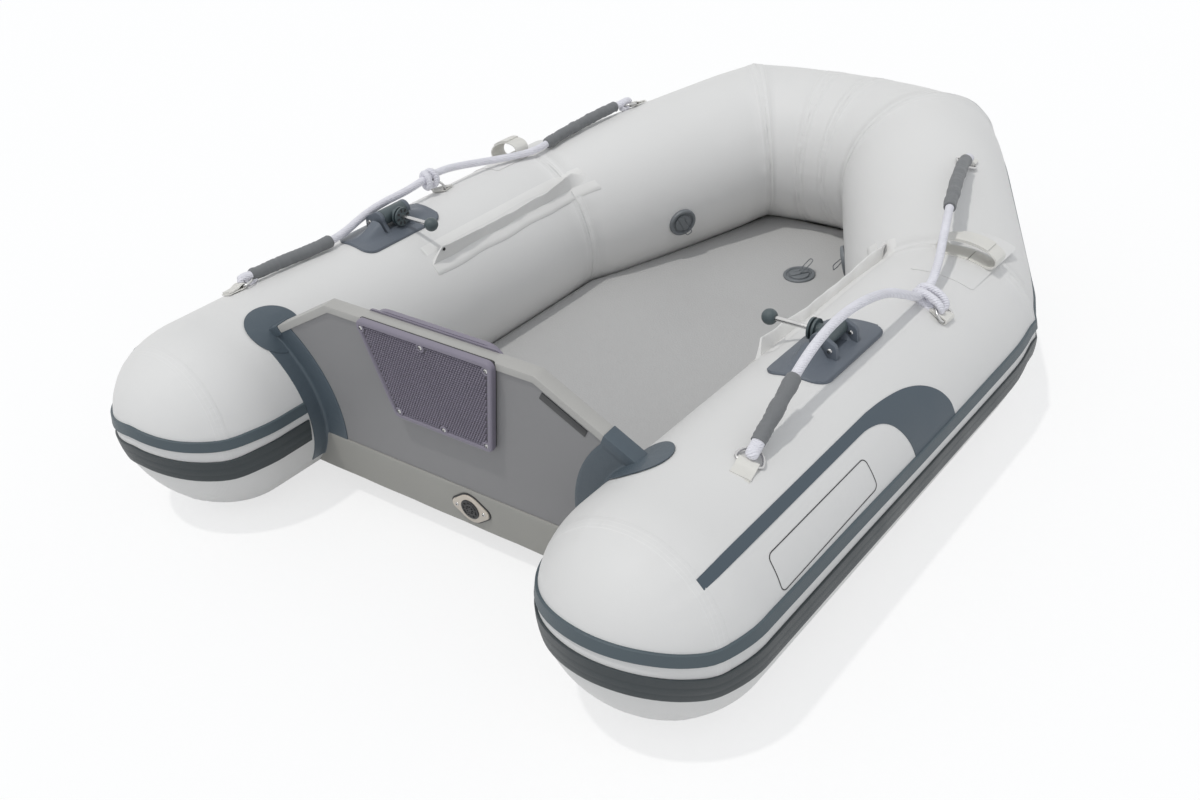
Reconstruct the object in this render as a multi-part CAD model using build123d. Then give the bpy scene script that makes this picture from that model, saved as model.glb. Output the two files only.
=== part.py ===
"""Inflatable tender dinghy, about 1.9 m long, with a transom for a small outboard.

Everything is drawn in the station frame: x runs forward from the seam where the
port and starboard tubes start their rounded tails, y is to port, z is up from the
surface that the two tubes stand on.  Each finished piece is then shifted along x so
that the origin lies under the middle of the boat.
"""
from build123d import *
from math import atan2, cos, degrees, pi, radians, sin, sqrt, tan
import os

os.makedirs("parts", exist_ok=True)

# ---------------------------------------------------------------- driving sizes
TUBE_R = 180.0            # air tube radius
TUBE_SPACING = 996.0      # between the axes of the two side tubes
SIDE_LENGTH = 961.0       # stern seam to the bend of the tube
TAIL_LENGTH = TUBE_R + 10.0       # rounded end behind the stern seam
TAIL_NOSE_R = TUBE_R - 30.0       # radius of the very end of the tail
HALF = TUBE_SPACING / 2
CROWN = 2 * TUBE_R        # height of the side tubes' tops
BEND_TO_GORE = 504.0      # bend to the bow gore, along x
GORE_HALF_WIDTH = 212.0   # centreline to the start of the gore
GORE_LENGTH = 45.0        # gore, along x
BOW_HALF_WIDTH = 55.0     # half of the front piece of the tube
BOW_RISE = 95.0           # how far the tube axis climbs to the gore
BOW_DROP = 11.0           # how far it sinks again across the gore

FLOOR_TOP = 90.0
BOTTOM_Z = 50.0           # underside of the hull fabric
BOTTOM_T = 3.0
FLOOR_BEND_X = 1000.0     # the floor and bottom turn up from here
FLOOR_SLOPE = 3.0         # degrees
BOTTOM_SLOPE = 5.0        # degrees

TRANSOM_T = 22.0
TRANSOM_X = 68.0          # aft face at the top edge
TRANSOM_TOP = CROWN + 73.0
TRANSOM_TILT = 5.5        # degrees, top leans aft
TRANSOM_PEAK = HALF - 271.0       # half width of the top edge
TRANSOM_SHOULDER = HALF - 97.0    # half width at the shoulders
SHOULDER_Z = CROWN - 25.0
TRIM_W = 9.0
TRIM_T = 2.0
BAND_TOP = 135.0          # top of the fabric flap glued across the transom's foot

STRAKE_T = 4.0
UPPER_STRAKE = (20.0, 44.0)     # above the tube axis
LOWER_STRAKE = (-41.0, 7.0)
STRAKE_FALL = 20.0           # how far the strakes sink along the forward tube
FABRIC_T = 2.5
SKIN_GAP = 0.3            # between soft pieces and what they lie on

GUSSET_REACH = 64.0       # width of the gusset's leg on the transom
GUSSET_SIDE = 30.0        # width of its leg on the tube, each side of the board
GUSSET_PATCH = (90.0, HALF - 93.0)    # middle of the round patch over the board's end
GUSSET_PATCH_R = 55.0

PAD_TOP_W = 300.0
PAD_FOOT_W = 205.0
PAD_H = 186.0
PAD_T = 12.0
PAD_RISE = 6.0            # the pad stands this far above the transom's top edge
INNER_PAD_H = 150.0

DRAIN_Y = 30.0            # to starboard
DRAIN_DROP = TRANSOM_TOP - 94.0       # down the board from its top edge
DRAIN_W = 91.0
DRAIN_H = 60.0
DRAIN_T = 5.0
DRAIN_BORE_R = 20.0
PLATE_L = 92.0
PLATE_W = 12.0

ROWLOCK_X = 490.0
BASE_LENGTH = 215.0
BASE_WIDTH = 112.0
BARREL_Z = CROWN + 25.0
BARREL_R = 16.0
BARREL_LENGTH = 62.0
EAR_T = 9.0
AXLE_R = 4.0
AXLE_CLEARANCE = 0.06
EAR_GAP = 0.4
FLANGE_R = 19.0
PIN_R = 4.5
KNOB_R = 14.0
KNOB_REACH = 112.0        # barrel axis to the knob's centre
EAR_R = 17.0
AXLE_DEPTH = 12.0
PIN_START = 34.0          # outer face of the flange, from the barrel's axis

VALVE_R = 33.0
FLOOR_VALVE_R = 36.0
FLOOR_VALVE_X = 1196.0
FLOOR_VALVE_Y = -62.0
VALVE_H = 7.0
VALVE_LIFT = -9.0         # degrees above the inboard side of the tube
HANDLE_X = SIDE_LENGTH - 33.0
HANDLE_OUT = 52.0         # middle of the handle, outboard of the tube's crown
HANDLE_R = 58.0
HANDLE_SINK = 20.0
STRAP_W = 30.0
FLAP_X0 = SIDE_LENGTH - 473.0
FLAP_X1 = SIDE_LENGTH - 36.0
FLAP_Y = HALF - 126.0      # the flap stands this far from the centreline
# along the flap, and up from the tube's crown
FLAP_TOPS = [(0, -23.0), (110, -26.0), (240, -29.0), (350, -27.0), (400, -24.0), (437, -48.0)]
FLAP_T = 3.0
FLAP_FOOT = 14.0          # its glued foot reaches this far to each side, in plan
PATCH_R = 27.0
RING_INSET = 9.0          # from the rope's end to the ring
RING_WIRE_R = 2.5
KEEPER_W = 8.0
SLEEVE_INSET = 17.0       # from the rope's end to the sleeve
ROPE_R = 8.0
SLEEVE_R = 14.0
STRAP_T = 3.0
TOW_DROP = 35.0           # degrees below the front of the bow tube
TOW_RING_R = 20.0
TOW_WIRE_R = 3.0
TOW_PATCH_R = 45.0
TOW_KEEPER_W = 24.0

# ---------------------------------------------------------------- tube geometry
RING_MAJOR = ROPE_R + RING_WIRE_R + SKIN_GAP
TRANSOM_FOOT = BOTTOM_Z + BOTTOM_T + SKIN_GAP
BEND_X = SIDE_LENGTH
GORE_X = BEND_X + BEND_TO_GORE
BOW_X = GORE_X + GORE_LENGTH
AXIS = [
    Vector(0, HALF, TUBE_R),
    Vector(BEND_X, HALF, TUBE_R),
    Vector(GORE_X, GORE_HALF_WIDTH, TUBE_R + BOW_RISE),
    Vector(BOW_X, BOW_HALF_WIDTH, TUBE_R + BOW_RISE - BOW_DROP),
    Vector(BOW_X, -BOW_HALF_WIDTH, TUBE_R + BOW_RISE - BOW_DROP),
    Vector(GORE_X, -GORE_HALF_WIDTH, TUBE_R + BOW_RISE),
]
SHIFT = (TAIL_LENGTH - BOW_X - TUBE_R) / 2      # station frame to the part's own frame


def run_direction(i):
    return (AXIS[i + 1] - AXIS[i]).normalized()


def joint_plane(i):
    """The plane in which run i-1 meets run i; its normal points forward along the tube."""
    if i == 0:
        return Plane(origin=AXIS[0], z_dir=run_direction(0))
    return Plane(origin=AXIS[i], z_dir=run_direction(i - 1) + run_direction(i))


def run_frames():
    """Outboard direction of each run, carried from run to run across its joint plane."""
    outboard = Vector(0, 1, 0)
    frames = [outboard]
    for i in range(1, len(AXIS) - 1):
        normal = joint_plane(i).z_dir
        outboard = outboard - normal * (2 * outboard.dot(normal))
        frames.append(outboard)
    return frames


OUTBOARD = run_frames()


def along_run(i, profile):
    """Sweep a flat profile (x outboard, y up) along run i and mitre both ends."""
    direction = run_direction(i)
    length = (AXIS[i + 1] - AXIS[i]).length
    over = 2 * TUBE_R
    start = AXIS[i] - direction * over
    plane = Plane(origin=start, x_dir=OUTBOARD[i], z_dir=direction)
    if plane.y_dir.Z < 0:
        plane = Plane(origin=start, x_dir=OUTBOARD[i] * -1, z_dir=direction)
    solid = extrude(plane * profile, amount=length + 2 * over)
    solid = split(solid, bisect_by=joint_plane(i), keep=Keep.TOP)
    return split(solid, bisect_by=joint_plane(i + 1), keep=Keep.BOTTOM)


def mirrored(piece):
    return mirror(piece, about=Plane.XZ)


def x_box(x0, x1, y0, y1, z0, z1):
    box = Box(x1 - x0, y1 - y0, z1 - z0)
    return box.moved(Location(((x0 + x1) / 2, (y0 + y1) / 2, (z0 + z1) / 2)))


def biggest(piece):
    return piece.solids().sort_by(SortBy.VOLUME)[-1]


def export(piece, name):
    piece = piece.moved(Location((SHIFT, 0, 0)))
    piece.label = name
    export_step(piece, f"parts/{name}.step")
    return piece


# ---------------------------------------------------------------- air tubes
def tail_solid(grow=0.0):
    """Rounded tail of the port tube: a long arc off the tube, then a tighter nose."""
    r = TUBE_R + grow
    nose = TAIL_NOSE_R + grow
    length = TAIL_LENGTH + grow
    big = (length ** 2 - 2 * length * nose + r ** 2) / (2 * (r - nose))
    turn = atan2(length - nose, big - r)
    touch = (-big * sin(turn), r - big + big * cos(turn))
    middle = (-big * sin(turn / 2), r - big + big * cos(turn / 2))
    halfway = radians(135) + turn / 2
    nose_mid = (nose - length + nose * cos(halfway), nose * sin(halfway))
    shoulder = ThreePointArc((0, r), middle, touch)
    end = ThreePointArc(touch, nose_mid, (-length, 0))
    outline = make_face(Polyline((-length, 0), (0, 0), (0, r)) + shoulder + end)
    profile = Plane.XZ * outline
    return revolve(profile, Axis.X, 360).moved(Location((0, HALF, TUBE_R)))


def tube_run(i, grow=0.0):
    return along_run(i, Circle(TUBE_R + grow))


def all_tubes(grow=0.0):
    """The whole tube, both sides, as a list of solids, for cutting what fits against it."""
    port = [tail_solid(grow)] + [tube_run(i, grow) for i in range(3)]
    return port + [mirrored(p) for p in port] + [tube_run(3, grow)]


def cut_all(piece, tools):
    for tool in tools:
        piece = piece - tool
    return piece


# ---------------------------------------------------------------- floor and bottom
def sloped_sheet(top, thickness, slope, half_width, x0, x1):
    """A level sheet that turns up at the floor bend; top and bottom stay parallel."""
    rise = tan(radians(slope)) * (x1 - FLOOR_BEND_X)
    outline = Polyline((x0, top), (FLOOR_BEND_X, top), (x1, top + rise),
                       (x1, top + rise - thickness), (FLOOR_BEND_X, top - thickness),
                       (x0, top - thickness), close=True)
    return extrude(Plane.XZ * make_face(outline), amount=half_width, both=True)


def inside_the_axis(height):
    """A tall block that fills the plan inside the tube axis."""
    corners = [(p.X, p.Y) for p in AXIS[:4]]
    back = [(x, -y) for x, y in reversed(corners)]
    face = make_face(Polyline(*(corners + back), close=True))
    return extrude(face, amount=height)


# ---------------------------------------------------------------- transom
def transom_plane(offset=0.0):
    """Aft face of the board: local x to starboard, local y up the face, z pointing aft."""
    origin = Vector(TRANSOM_X, 0, TRANSOM_TOP)
    up = Vector(-sin(radians(TRANSOM_TILT)), 0, cos(radians(TRANSOM_TILT)))
    aft = Vector(-cos(radians(TRANSOM_TILT)), 0, -sin(radians(TRANSOM_TILT)))
    side = up.cross(aft)
    return Plane(origin=origin + aft * offset, x_dir=side, z_dir=aft)


SLANT = cos(radians(TRANSOM_TILT))
SHOULDER_DROP = (TRANSOM_TOP - SHOULDER_Z) / SLANT
FOOT_DROP = (TRANSOM_TOP - TRANSOM_FOOT) / SLANT
BAND_DROP = (TRANSOM_TOP - BAND_TOP) / SLANT


def transom_outline():
    """Hexagonal board; its lower sides run on into the tubes and are cut by them."""
    right = [(TRANSOM_PEAK, 0), (TRANSOM_SHOULDER, -SHOULDER_DROP), (HALF, -SHOULDER_DROP - 30),
             (HALF, -FOOT_DROP)]
    left = [(-x, y) for x, y in reversed(right)]
    return make_face(Polyline(*(right + left), close=True))


def face_block(face, depth, offset=0.0):
    """Thicken a face drawn on the transom's plane; a positive depth goes forward."""
    return extrude(transom_plane(offset) * face, amount=-depth)


def transom_pad_face(top_w, foot_w, height, radius, top_radius):
    """A pad with slanting sides and rounded corners, hung from the top edge."""
    face = make_face(Polyline((-top_w / 2, 0), (top_w / 2, 0), (foot_w / 2, -height),
                              (-foot_w / 2, -height), close=True))
    corners = face.vertices().sort_by(Axis.Y)
    face = fillet(corners[:2], radius)
    corners = face.vertices().sort_by(Axis.Y)[-2:]
    return fillet(corners, top_radius)


# ---------------------------------------------------------------- strakes
def band_profile(band, side):
    """The part of a ring of the tube's section that lies in a level band, on one side."""
    low, high = band
    ring = Circle(TUBE_R + STRAKE_T) - Circle(TUBE_R)
    window = Pos(side * (TUBE_R + 20) / 2, (low + high) / 2) * Rectangle(TUBE_R + 20, high - low)
    return ring & window


def sinking_band(band):
    """The band on the forward tube: level with the side at its start, sunk at its end."""
    low, high = band
    fall = STRAKE_FALL
    reach = TUBE_R + STRAKE_T
    bends = [run_direction(i).get_angle(run_direction(i + 1)) / 2 for i in range(2)]
    start = -reach * tan(radians(bends[0]))
    end = (AXIS[2] - AXIS[1]).length + reach * tan(radians(bends[1]))
    window = make_face(Polyline((start - 90, low), (start, low), (end, low - fall),
                                (end + 90, low - fall), (end + 90, high - fall),
                                (end, high - fall), (start, high), (start - 90, high), close=True))
    side = Plane(origin=AXIS[1], x_dir=run_direction(1), z_dir=OUTBOARD[1] * -1)
    shell = along_run(1, Circle(reach)) - tube_run(1)
    return shell & extrude(side * window, amount=-reach * 1.2)


def strake(band):
    """One port rubbing strake: round the bow to the centreline, along the side,
    round the tail and back along the inside as far as the transom's gusset."""
    low, high = band
    sunk = (low - STRAKE_FALL, high - STRAKE_FALL)
    pieces = [along_run(0, band_profile(band, 1)), sinking_band(band),
              along_run(2, band_profile(sunk, 1)), along_run(3, band_profile(sunk, 1))]
    pieces[3] = pieces[3] & x_box(0, 3000, 0, 1000, 0, 1000)
    shell = tail_solid(STRAKE_T) - tail_solid()
    pieces.append(shell & x_box(-400, 0, -100, 1000, TUBE_R + low, TUBE_R + high))
    inner_end = TRANSOM_X + (TRANSOM_TOP - TUBE_R - 20) * tan(radians(TRANSOM_TILT)) - GUSSET_SIDE - 5
    inner = extrude(Plane(origin=(0, HALF, TUBE_R), x_dir=(0, 1, 0), z_dir=(1, 0, 0))
                    * band_profile(band, -1), amount=inner_end)
    pieces.append(inner)
    whole = pieces[0]
    for piece in pieces[1:]:
        whole = whole + piece
    return whole


# ---------------------------------------------------------------- build: tubes
tubes = {"tail": tail_solid(), "side_tube": tube_run(0), "forward_tube": tube_run(1),
         "bow_gore": tube_run(2)}
for name, piece in tubes.items():
    export(piece, "port_" + name)
    export(mirrored(piece), "starboard_" + name)
export(tube_run(3), "bow_tube")

for name, band in (("upper_strake", UPPER_STRAKE), ("lower_strake", LOWER_STRAKE)):
    piece = strake(band)
    export(piece, "port_" + name)
    export(mirrored(piece), "starboard_" + name)

# floor and bottom
clear_of_tubes = all_tubes(SKIN_GAP)
plan = inside_the_axis(400)
aft_edge = TRANSOM_X + (TRANSOM_TOP - FLOOR_TOP) * tan(radians(TRANSOM_TILT))
board_front = aft_edge + TRANSOM_T / SLANT
floor = sloped_sheet(FLOOR_TOP, FLOOR_TOP - BOTTOM_Z - BOTTOM_T - SKIN_GAP, FLOOR_SLOPE,
                     HALF, board_front + 8, BOW_X)
bottom_space = sloped_sheet(BOTTOM_Z + BOTTOM_T + SKIN_GAP, 200, BOTTOM_SLOPE, HALF, -50, BOW_X)
floor = biggest(cut_all((floor - bottom_space) & plan, clear_of_tubes))
export(floor, "air_floor")
foot_x = TRANSOM_X + (TRANSOM_TOP - BOTTOM_Z) * tan(radians(TRANSOM_TILT))
bottom = sloped_sheet(BOTTOM_Z + BOTTOM_T, BOTTOM_T, BOTTOM_SLOPE, HALF, foot_x, BOW_X)
bottom = biggest(cut_all(bottom & plan, clear_of_tubes))
export(bottom, "hull_bottom")

# transom
under_gusset = FABRIC_T + 2 * SKIN_GAP
board_tools = [p for p in (tube_run(0, under_gusset), mirrored(tube_run(0, under_gusset)))]
board = cut_all(face_block(transom_outline(), TRANSOM_T), board_tools)
export(board, "transom_board")

trim_path = [(-TRANSOM_SHOULDER, -SHOULDER_DROP), (-TRANSOM_PEAK, 0), (TRANSOM_PEAK, 0),
             (TRANSOM_SHOULDER, -SHOULDER_DROP)]
slope = atan2(SHOULDER_DROP, TRANSOM_SHOULDER - TRANSOM_PEAK)


def offset_edge(distance):
    """The three top edges of the board moved outwards by a distance."""
    corner = TRANSOM_PEAK + distance * tan(slope / 2)
    end = (TRANSOM_SHOULDER + distance * sin(slope), -SHOULDER_DROP + distance * cos(slope))
    return [(-end[0], end[1]), (-corner, distance), (corner, distance), end]


trim_face = make_face(Polyline(*(offset_edge(TRIM_T) + offset_edge(-TRIM_W)[::-1]), close=True))
trim = face_block(trim_face, TRANSOM_T + 2 * TRIM_T, TRIM_T) - face_block(transom_outline(), TRANSOM_T)
trim = cut_all(trim, board_tools)
export(trim, "transom_top_trim")

band_face = make_face(Polyline((-HALF, -BAND_DROP), (HALF, -BAND_DROP), (HALF, -FOOT_DROP),
                               (-HALF, -FOOT_DROP), close=True))
band = cut_all(face_block(band_face, FABRIC_T, FABRIC_T), board_tools)


# ---------------------------------------------------------------- gussets
def gusset():
    """Port gusset: a round patch over the board's end, a strap down the tube from it, and
    a leg on each face of the board."""
    reach = TUBE_R + GUSSET_REACH
    tube_skin = tube_run(0, SKIN_GAP + FABRIC_T) - tube_run(0, SKIN_GAP)
    strap_zone = face_block(make_face(Polyline((-1000, 200), (1000, 200), (1000, -FOOT_DROP + 20),
                                               (-1000, -FOOT_DROP + 20), close=True)),
                            TRANSOM_T + 2 * GUSSET_SIDE, GUSSET_SIDE)
    outboard_end = x_box(-100, 400, -50, GUSSET_PATCH[1], BAND_TOP, 1000)
    strap = tube_skin & strap_zone & outboard_end
    patch_zone = extrude(Plane(origin=(*GUSSET_PATCH, TUBE_R)) * Circle(GUSSET_PATCH_R), amount=400)
    strap = strap + (tube_skin & patch_zone)
    disc = extrude(Plane(origin=(-100, HALF, TUBE_R), x_dir=(0, 1, 0), z_dir=(1, 0, 0))
                   * Circle(reach), amount=500)
    leg_zone = make_face(Polyline(*(offset_edge(-TRIM_W - 0.5)
                                    + [(HALF, -SHOULDER_DROP - 30), (HALF, -BAND_DROP + 0.3),
                                       (-HALF, -BAND_DROP + 0.3), (-HALF, -SHOULDER_DROP - 30)]),
                                  close=True))
    legs = []
    for offset in (FABRIC_T + 0.02, -TRANSOM_T):
        leg = face_block(leg_zone, FABRIC_T, offset) & disc & x_box(-100, 400, 0, HALF, 0, 1000)
        legs.append(leg - tube_run(0, SKIN_GAP))
    whole = strap
    for leg in legs:
        whole = whole + leg
    return whole


port_gusset = gusset()
export(port_gusset, "port_transom_gusset")
export(mirrored(port_gusset), "starboard_transom_gusset")

# ---------------------------------------------------------------- transom fittings
outer_face = Pos(0, PAD_RISE) * transom_pad_face(PAD_TOP_W, PAD_FOOT_W, PAD_H, 14, 8)
outer_pad = face_block(outer_face, PAD_T, PAD_T)
trim_slot = face_block(trim_face, TRANSOM_T + 2 * TRIM_T, TRIM_T)
export(outer_pad - trim_slot, "outer_motor_pad")
inner_face = Pos(0, PAD_RISE - 2) * transom_pad_face(PAD_TOP_W, PAD_TOP_W, INNER_PAD_H, 14, 40)
inner_pad = face_block(inner_face, PAD_T, -TRANSOM_T)
export(inner_pad - trim_slot, "inner_motor_pad")

drain_centre = Pos(DRAIN_Y, -DRAIN_DROP)
flange_face = drain_centre * (Ellipse(DRAIN_W / 2, DRAIN_H / 2) - Circle(DRAIN_BORE_R))
drain_flange = face_block(flange_face, DRAIN_T, FABRIC_T + DRAIN_T)
export(drain_flange, "drain_flange")
plug = face_block(drain_centre * Circle(DRAIN_BORE_R - 0.1), DRAIN_T + 2, FABRIC_T + DRAIN_T + 2)
export(plug, "drain_plug")
export(band, "transom_bottom_band")

plate_slope = Rot(0, 0, -degrees(slope))
plate_mid = offset_edge(-TRIM_W - 9)[2]
plate_face = Pos(plate_mid[0], plate_mid[1]) * plate_slope * Pos(58, 0) * Rectangle(PLATE_L, PLATE_W)
export(face_block(plate_face, 1.0, 1.0), "transom_plate")

# ---------------------------------------------------------------- rowlocks
def rowlock_base():
    """Port rowlock base: a moulded patch, two ears with webs and an axle screw in each."""
    patch = (tube_run(0, SKIN_GAP + FABRIC_T) - tube_run(0, SKIN_GAP))
    outline = RectangleRounded(BASE_LENGTH, BASE_WIDTH, 26)
    prism = extrude(Plane(origin=(ROWLOCK_X, HALF, TUBE_R * 1.5)) * outline, amount=TUBE_R)
    base = patch & prism
    foot = TUBE_R * 2 - 12
    for end in (-1, 1):
        inner = ROWLOCK_X + end * (BARREL_LENGTH / 2 + EAR_GAP)
        start = inner if end > 0 else inner - EAR_T
        section = Plane(origin=(start, HALF, 0), x_dir=(0, 1, 0), z_dir=(1, 0, 0))
        web = make_face(Polyline((-34, foot), (34, foot), (EAR_R, BARREL_Z), (-EAR_R, BARREL_Z),
                                 close=True)) + Pos(0, BARREL_Z) * Circle(EAR_R)
        base = base + extrude(section * web, amount=EAR_T)
        outer = inner + end * EAR_T
        rib = Plane.XZ * make_face(Polyline((outer - end, foot), (outer + end * 34, foot),
                                            (outer - end, BARREL_Z - 6), close=True))
        base = base + extrude(rib, amount=5, both=True).moved(Location((0, HALF, 0)))
        axle_start = inner - end * AXLE_DEPTH
        axle = Plane(origin=(axle_start, HALF, BARREL_Z), z_dir=(end, 0, 0)) * Circle(AXLE_R)
        base = base + extrude(axle, amount=AXLE_DEPTH + EAR_T + 2)
    return base - tube_run(0, SKIN_GAP)


def rowlock_arm():
    """Port rowlock arm, lying inboard: barrel with its double flange, steel pin, knob."""
    centre = Vector(ROWLOCK_X, HALF, BARREL_Z)
    along = Plane(origin=centre - Vector(BARREL_LENGTH / 2, 0, 0), z_dir=(1, 0, 0))
    barrel = extrude(along * Circle(BARREL_R), amount=BARREL_LENGTH)
    inboard = Plane(origin=centre, z_dir=(0, -1, 0))
    barrel = barrel + extrude(inboard * Circle(12), amount=PIN_START)
    for start in (22, PIN_START - 4):
        disc = Plane(origin=centre - Vector(0, start, 0), z_dir=(0, -1, 0)) * Circle(FLANGE_R)
        barrel = barrel + extrude(disc, amount=4)
    for end in (-1, 1):
        mouth = centre + Vector(end * BARREL_LENGTH / 2, 0, 0)
        bore = Plane(origin=mouth, z_dir=(-end, 0, 0)) * Circle(AXLE_R + AXLE_CLEARANCE)
        barrel = barrel - extrude(bore, amount=AXLE_DEPTH + 1)
    flat = KNOB_REACH - 12
    pin_plane = Plane(origin=centre - Vector(0, PIN_START, 0), z_dir=(0, -1, 0))
    pin = extrude(pin_plane * Circle(PIN_R), amount=flat - PIN_START)
    knob = Sphere(KNOB_R).moved(Location(centre - Vector(0, KNOB_REACH, 0)))
    knob = split(knob, bisect_by=Plane(origin=centre - Vector(0, flat, 0), z_dir=(0, -1, 0)),
                 keep=Keep.TOP)
    return {"barrel": barrel, "pin": pin, "knob": knob}


arm = rowlock_arm()
base = rowlock_base()
for side, turn_over in (("port", lambda p: p), ("starboard", mirrored)):
    export(turn_over(base), side + "_rowlock_base")
    for name, piece in arm.items():
        export(turn_over(piece), side + "_rowlock_" + name)

# ---------------------------------------------------------------- valves
def valve_on_run(i, share, lift, radius):
    """Round valve seated on the inboard face of a tube run, lift degrees above level."""
    spot = AXIS[i] + (AXIS[i + 1] - AXIS[i]) * share
    direction = run_direction(i)
    inward = (OUTBOARD[i] * -1).rotate(Axis((0, 0, 0), tuple(direction)), -lift)
    body = extrude(Plane(origin=spot, z_dir=inward) * Circle(radius), amount=TUBE_R + VALVE_H)
    cap = extrude(Plane(origin=spot, z_dir=inward) * Circle(radius * 0.7),
                  amount=TUBE_R + VALVE_H + 3)
    return (body + cap) - tube_run(i, SKIN_GAP)


valve = valve_on_run(1, 0.464, VALVE_LIFT, VALVE_R)
export(valve, "port_valve")
export(mirrored(valve), "starboard_valve")
floor_z = FLOOR_TOP + (FLOOR_VALVE_X - FLOOR_BEND_X) * tan(radians(FLOOR_SLOPE))
seat = Plane(origin=(FLOOR_VALVE_X, FLOOR_VALVE_Y, floor_z),
             z_dir=(-sin(radians(FLOOR_SLOPE)), 0, cos(radians(FLOOR_SLOPE))))
floor_valve = extrude(seat * Circle(FLOOR_VALVE_R), amount=VALVE_H - 2)
floor_valve = floor_valve + extrude(seat * Circle(FLOOR_VALVE_R * 0.7), amount=VALVE_H + 1)
export(floor_valve, "floor_valve")

# ---------------------------------------------------------------- carry handles, seat flaps
def carry_handle():
    """Port webbing handle: an arch across the top of the tube on two glued feet."""
    mid = HALF + HANDLE_OUT
    crown = TUBE_R + sqrt(TUBE_R ** 2 - HANDLE_OUT ** 2)
    section = Plane(origin=(HANDLE_X - STRAP_W / 2, mid, crown - HANDLE_SINK),
                    x_dir=(0, 1, 0), z_dir=(1, 0, 0))
    arch = extrude(section * (Circle(HANDLE_R) - Circle(HANDLE_R - STRAP_T)), amount=STRAP_W)
    feet = tube_run(0, SKIN_GAP + FABRIC_T) - tube_run(0, SKIN_GAP)
    zone = Box(STRAP_W + 12, 36, 200)
    span = sqrt(HANDLE_R ** 2 - HANDLE_SINK ** 2)
    for y in (mid - span, mid + span):
        arch = arch + (feet & zone.moved(Location((HANDLE_X, y, TUBE_R * 2))))
    arch = (arch & x_box(0, BEND_X, 0, 1000, TUBE_R, 1000)) - tube_run(0, SKIN_GAP)
    return arch - tube_run(1, SKIN_GAP)


def seat_flap():
    """Port seat flap: a thin fin that stands up from a foot glued high on the tube."""
    side = Plane(origin=(FLAP_X0, FLAP_Y + FLAP_T / 2, 0), x_dir=(1, 0, 0), z_dir=(0, -1, 0))
    length = FLAP_X1 - FLAP_X0
    tops = [(along, CROWN + rise) for along, rise in FLAP_TOPS]
    outline = make_face(Polyline(*([(0, CROWN - 80)] + tops + [(length, CROWN - 80)]), close=True))
    fin = extrude(side * outline, amount=FLAP_T)
    skin = tube_run(0, SKIN_GAP + FABRIC_T) - tube_run(0, SKIN_GAP)
    foot = skin & x_box(FLAP_X0 - 8, FLAP_X1, FLAP_Y - FLAP_FOOT, FLAP_Y + FLAP_FOOT, TUBE_R, 1000)
    return (fin + foot) - tube_run(0, SKIN_GAP) - tube_run(1, SKIN_GAP)


for name, piece in (("carry_handle", carry_handle()), ("seat_flap", seat_flap())):
    export(piece, "port_" + name)
    export(mirrored(piece), "starboard_" + name)

# ---------------------------------------------------------------- grab lines
# Routes: station x, outboard of the side tube's axis, above its crown; chosen by hand.
STARBOARD_ROUTE = [
    (152, 60, 8), (238, 54, 46), (330, 47, 79), (420, 46, 95), (515, 46, 86),
    (600, 48, 64), (658, 51, 34), (707, 54, 8), (757, 54, 8), (800, 47, 33),
    (850, 32, 63), (900, 16, 77), (958, -3, 84), (1040, -29, 83), (1120, -55, 76),
    (1180, -74, 68), (1230, -84, 57)]
PORT_ROUTE = [
    (152, 60, 8), (236, 52, 14), (322, 46, 13), (404, 45, 20), (486, 45, 29),
    (566, 46, 35), (642, 49, 31), (707, 54, 8), (757, 54, 8), (822, 45, 17),
    (888, 4, 18), (940, -15, 20), (1000, -26, 26), (1070, -42, 38), (1140, -57, 48),
    (1214, -70, 52)]
# Each sleeve ends in the middle of this run, counted from its own end of the rope.
SLEEVE_RUNS = {"port": (2, 3), "starboard": (1, 4)}
MIDDLE_RING_RUN = 7


def route_line(points):
    """Straight runs joined by the largest arcs that each pair of runs allows."""
    spots = [Vector(x, HALF + out, CROWN + rise) for x, out, rise in points]
    radii = []
    for before, here, after in zip(spots, spots[1:], spots[2:]):
        turn = (here - before).get_angle(after - here)
        shorter = min((here - before).length, (after - here).length)
        radii.append(0.45 * shorter / tan(radians(turn / 2)))
    return spots, radii, FilletPolyline(*spots, radius=radii)


def hose(line, radius, hollow=0.0):
    start = Plane(origin=line @ 0, z_dir=line % 0)
    ring = Circle(radius) - Circle(hollow) if hollow else Circle(radius)
    return sweep(start * ring, path=line)


def sleeve_line(spots, radii, last_run):
    """The rope's own line from just inside its end ring to the middle of a run."""
    first = spots[0] + (spots[1] - spots[0]).normalized() * SLEEVE_INSET
    last = (spots[last_run] + spots[last_run + 1]) / 2
    points = [first] + spots[1:last_run + 1] + [last]
    return FilletPolyline(*points, radius=radii[:last_run])


def tube_axis_foot(i, point):
    direction = run_direction(i)
    return AXIS[i] + direction * (point - AXIS[i]).dot(direction)


def height_over_tube(point):
    return min((point - tube_axis_foot(i, point)).length for i in range(2)) - TUBE_R


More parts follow.
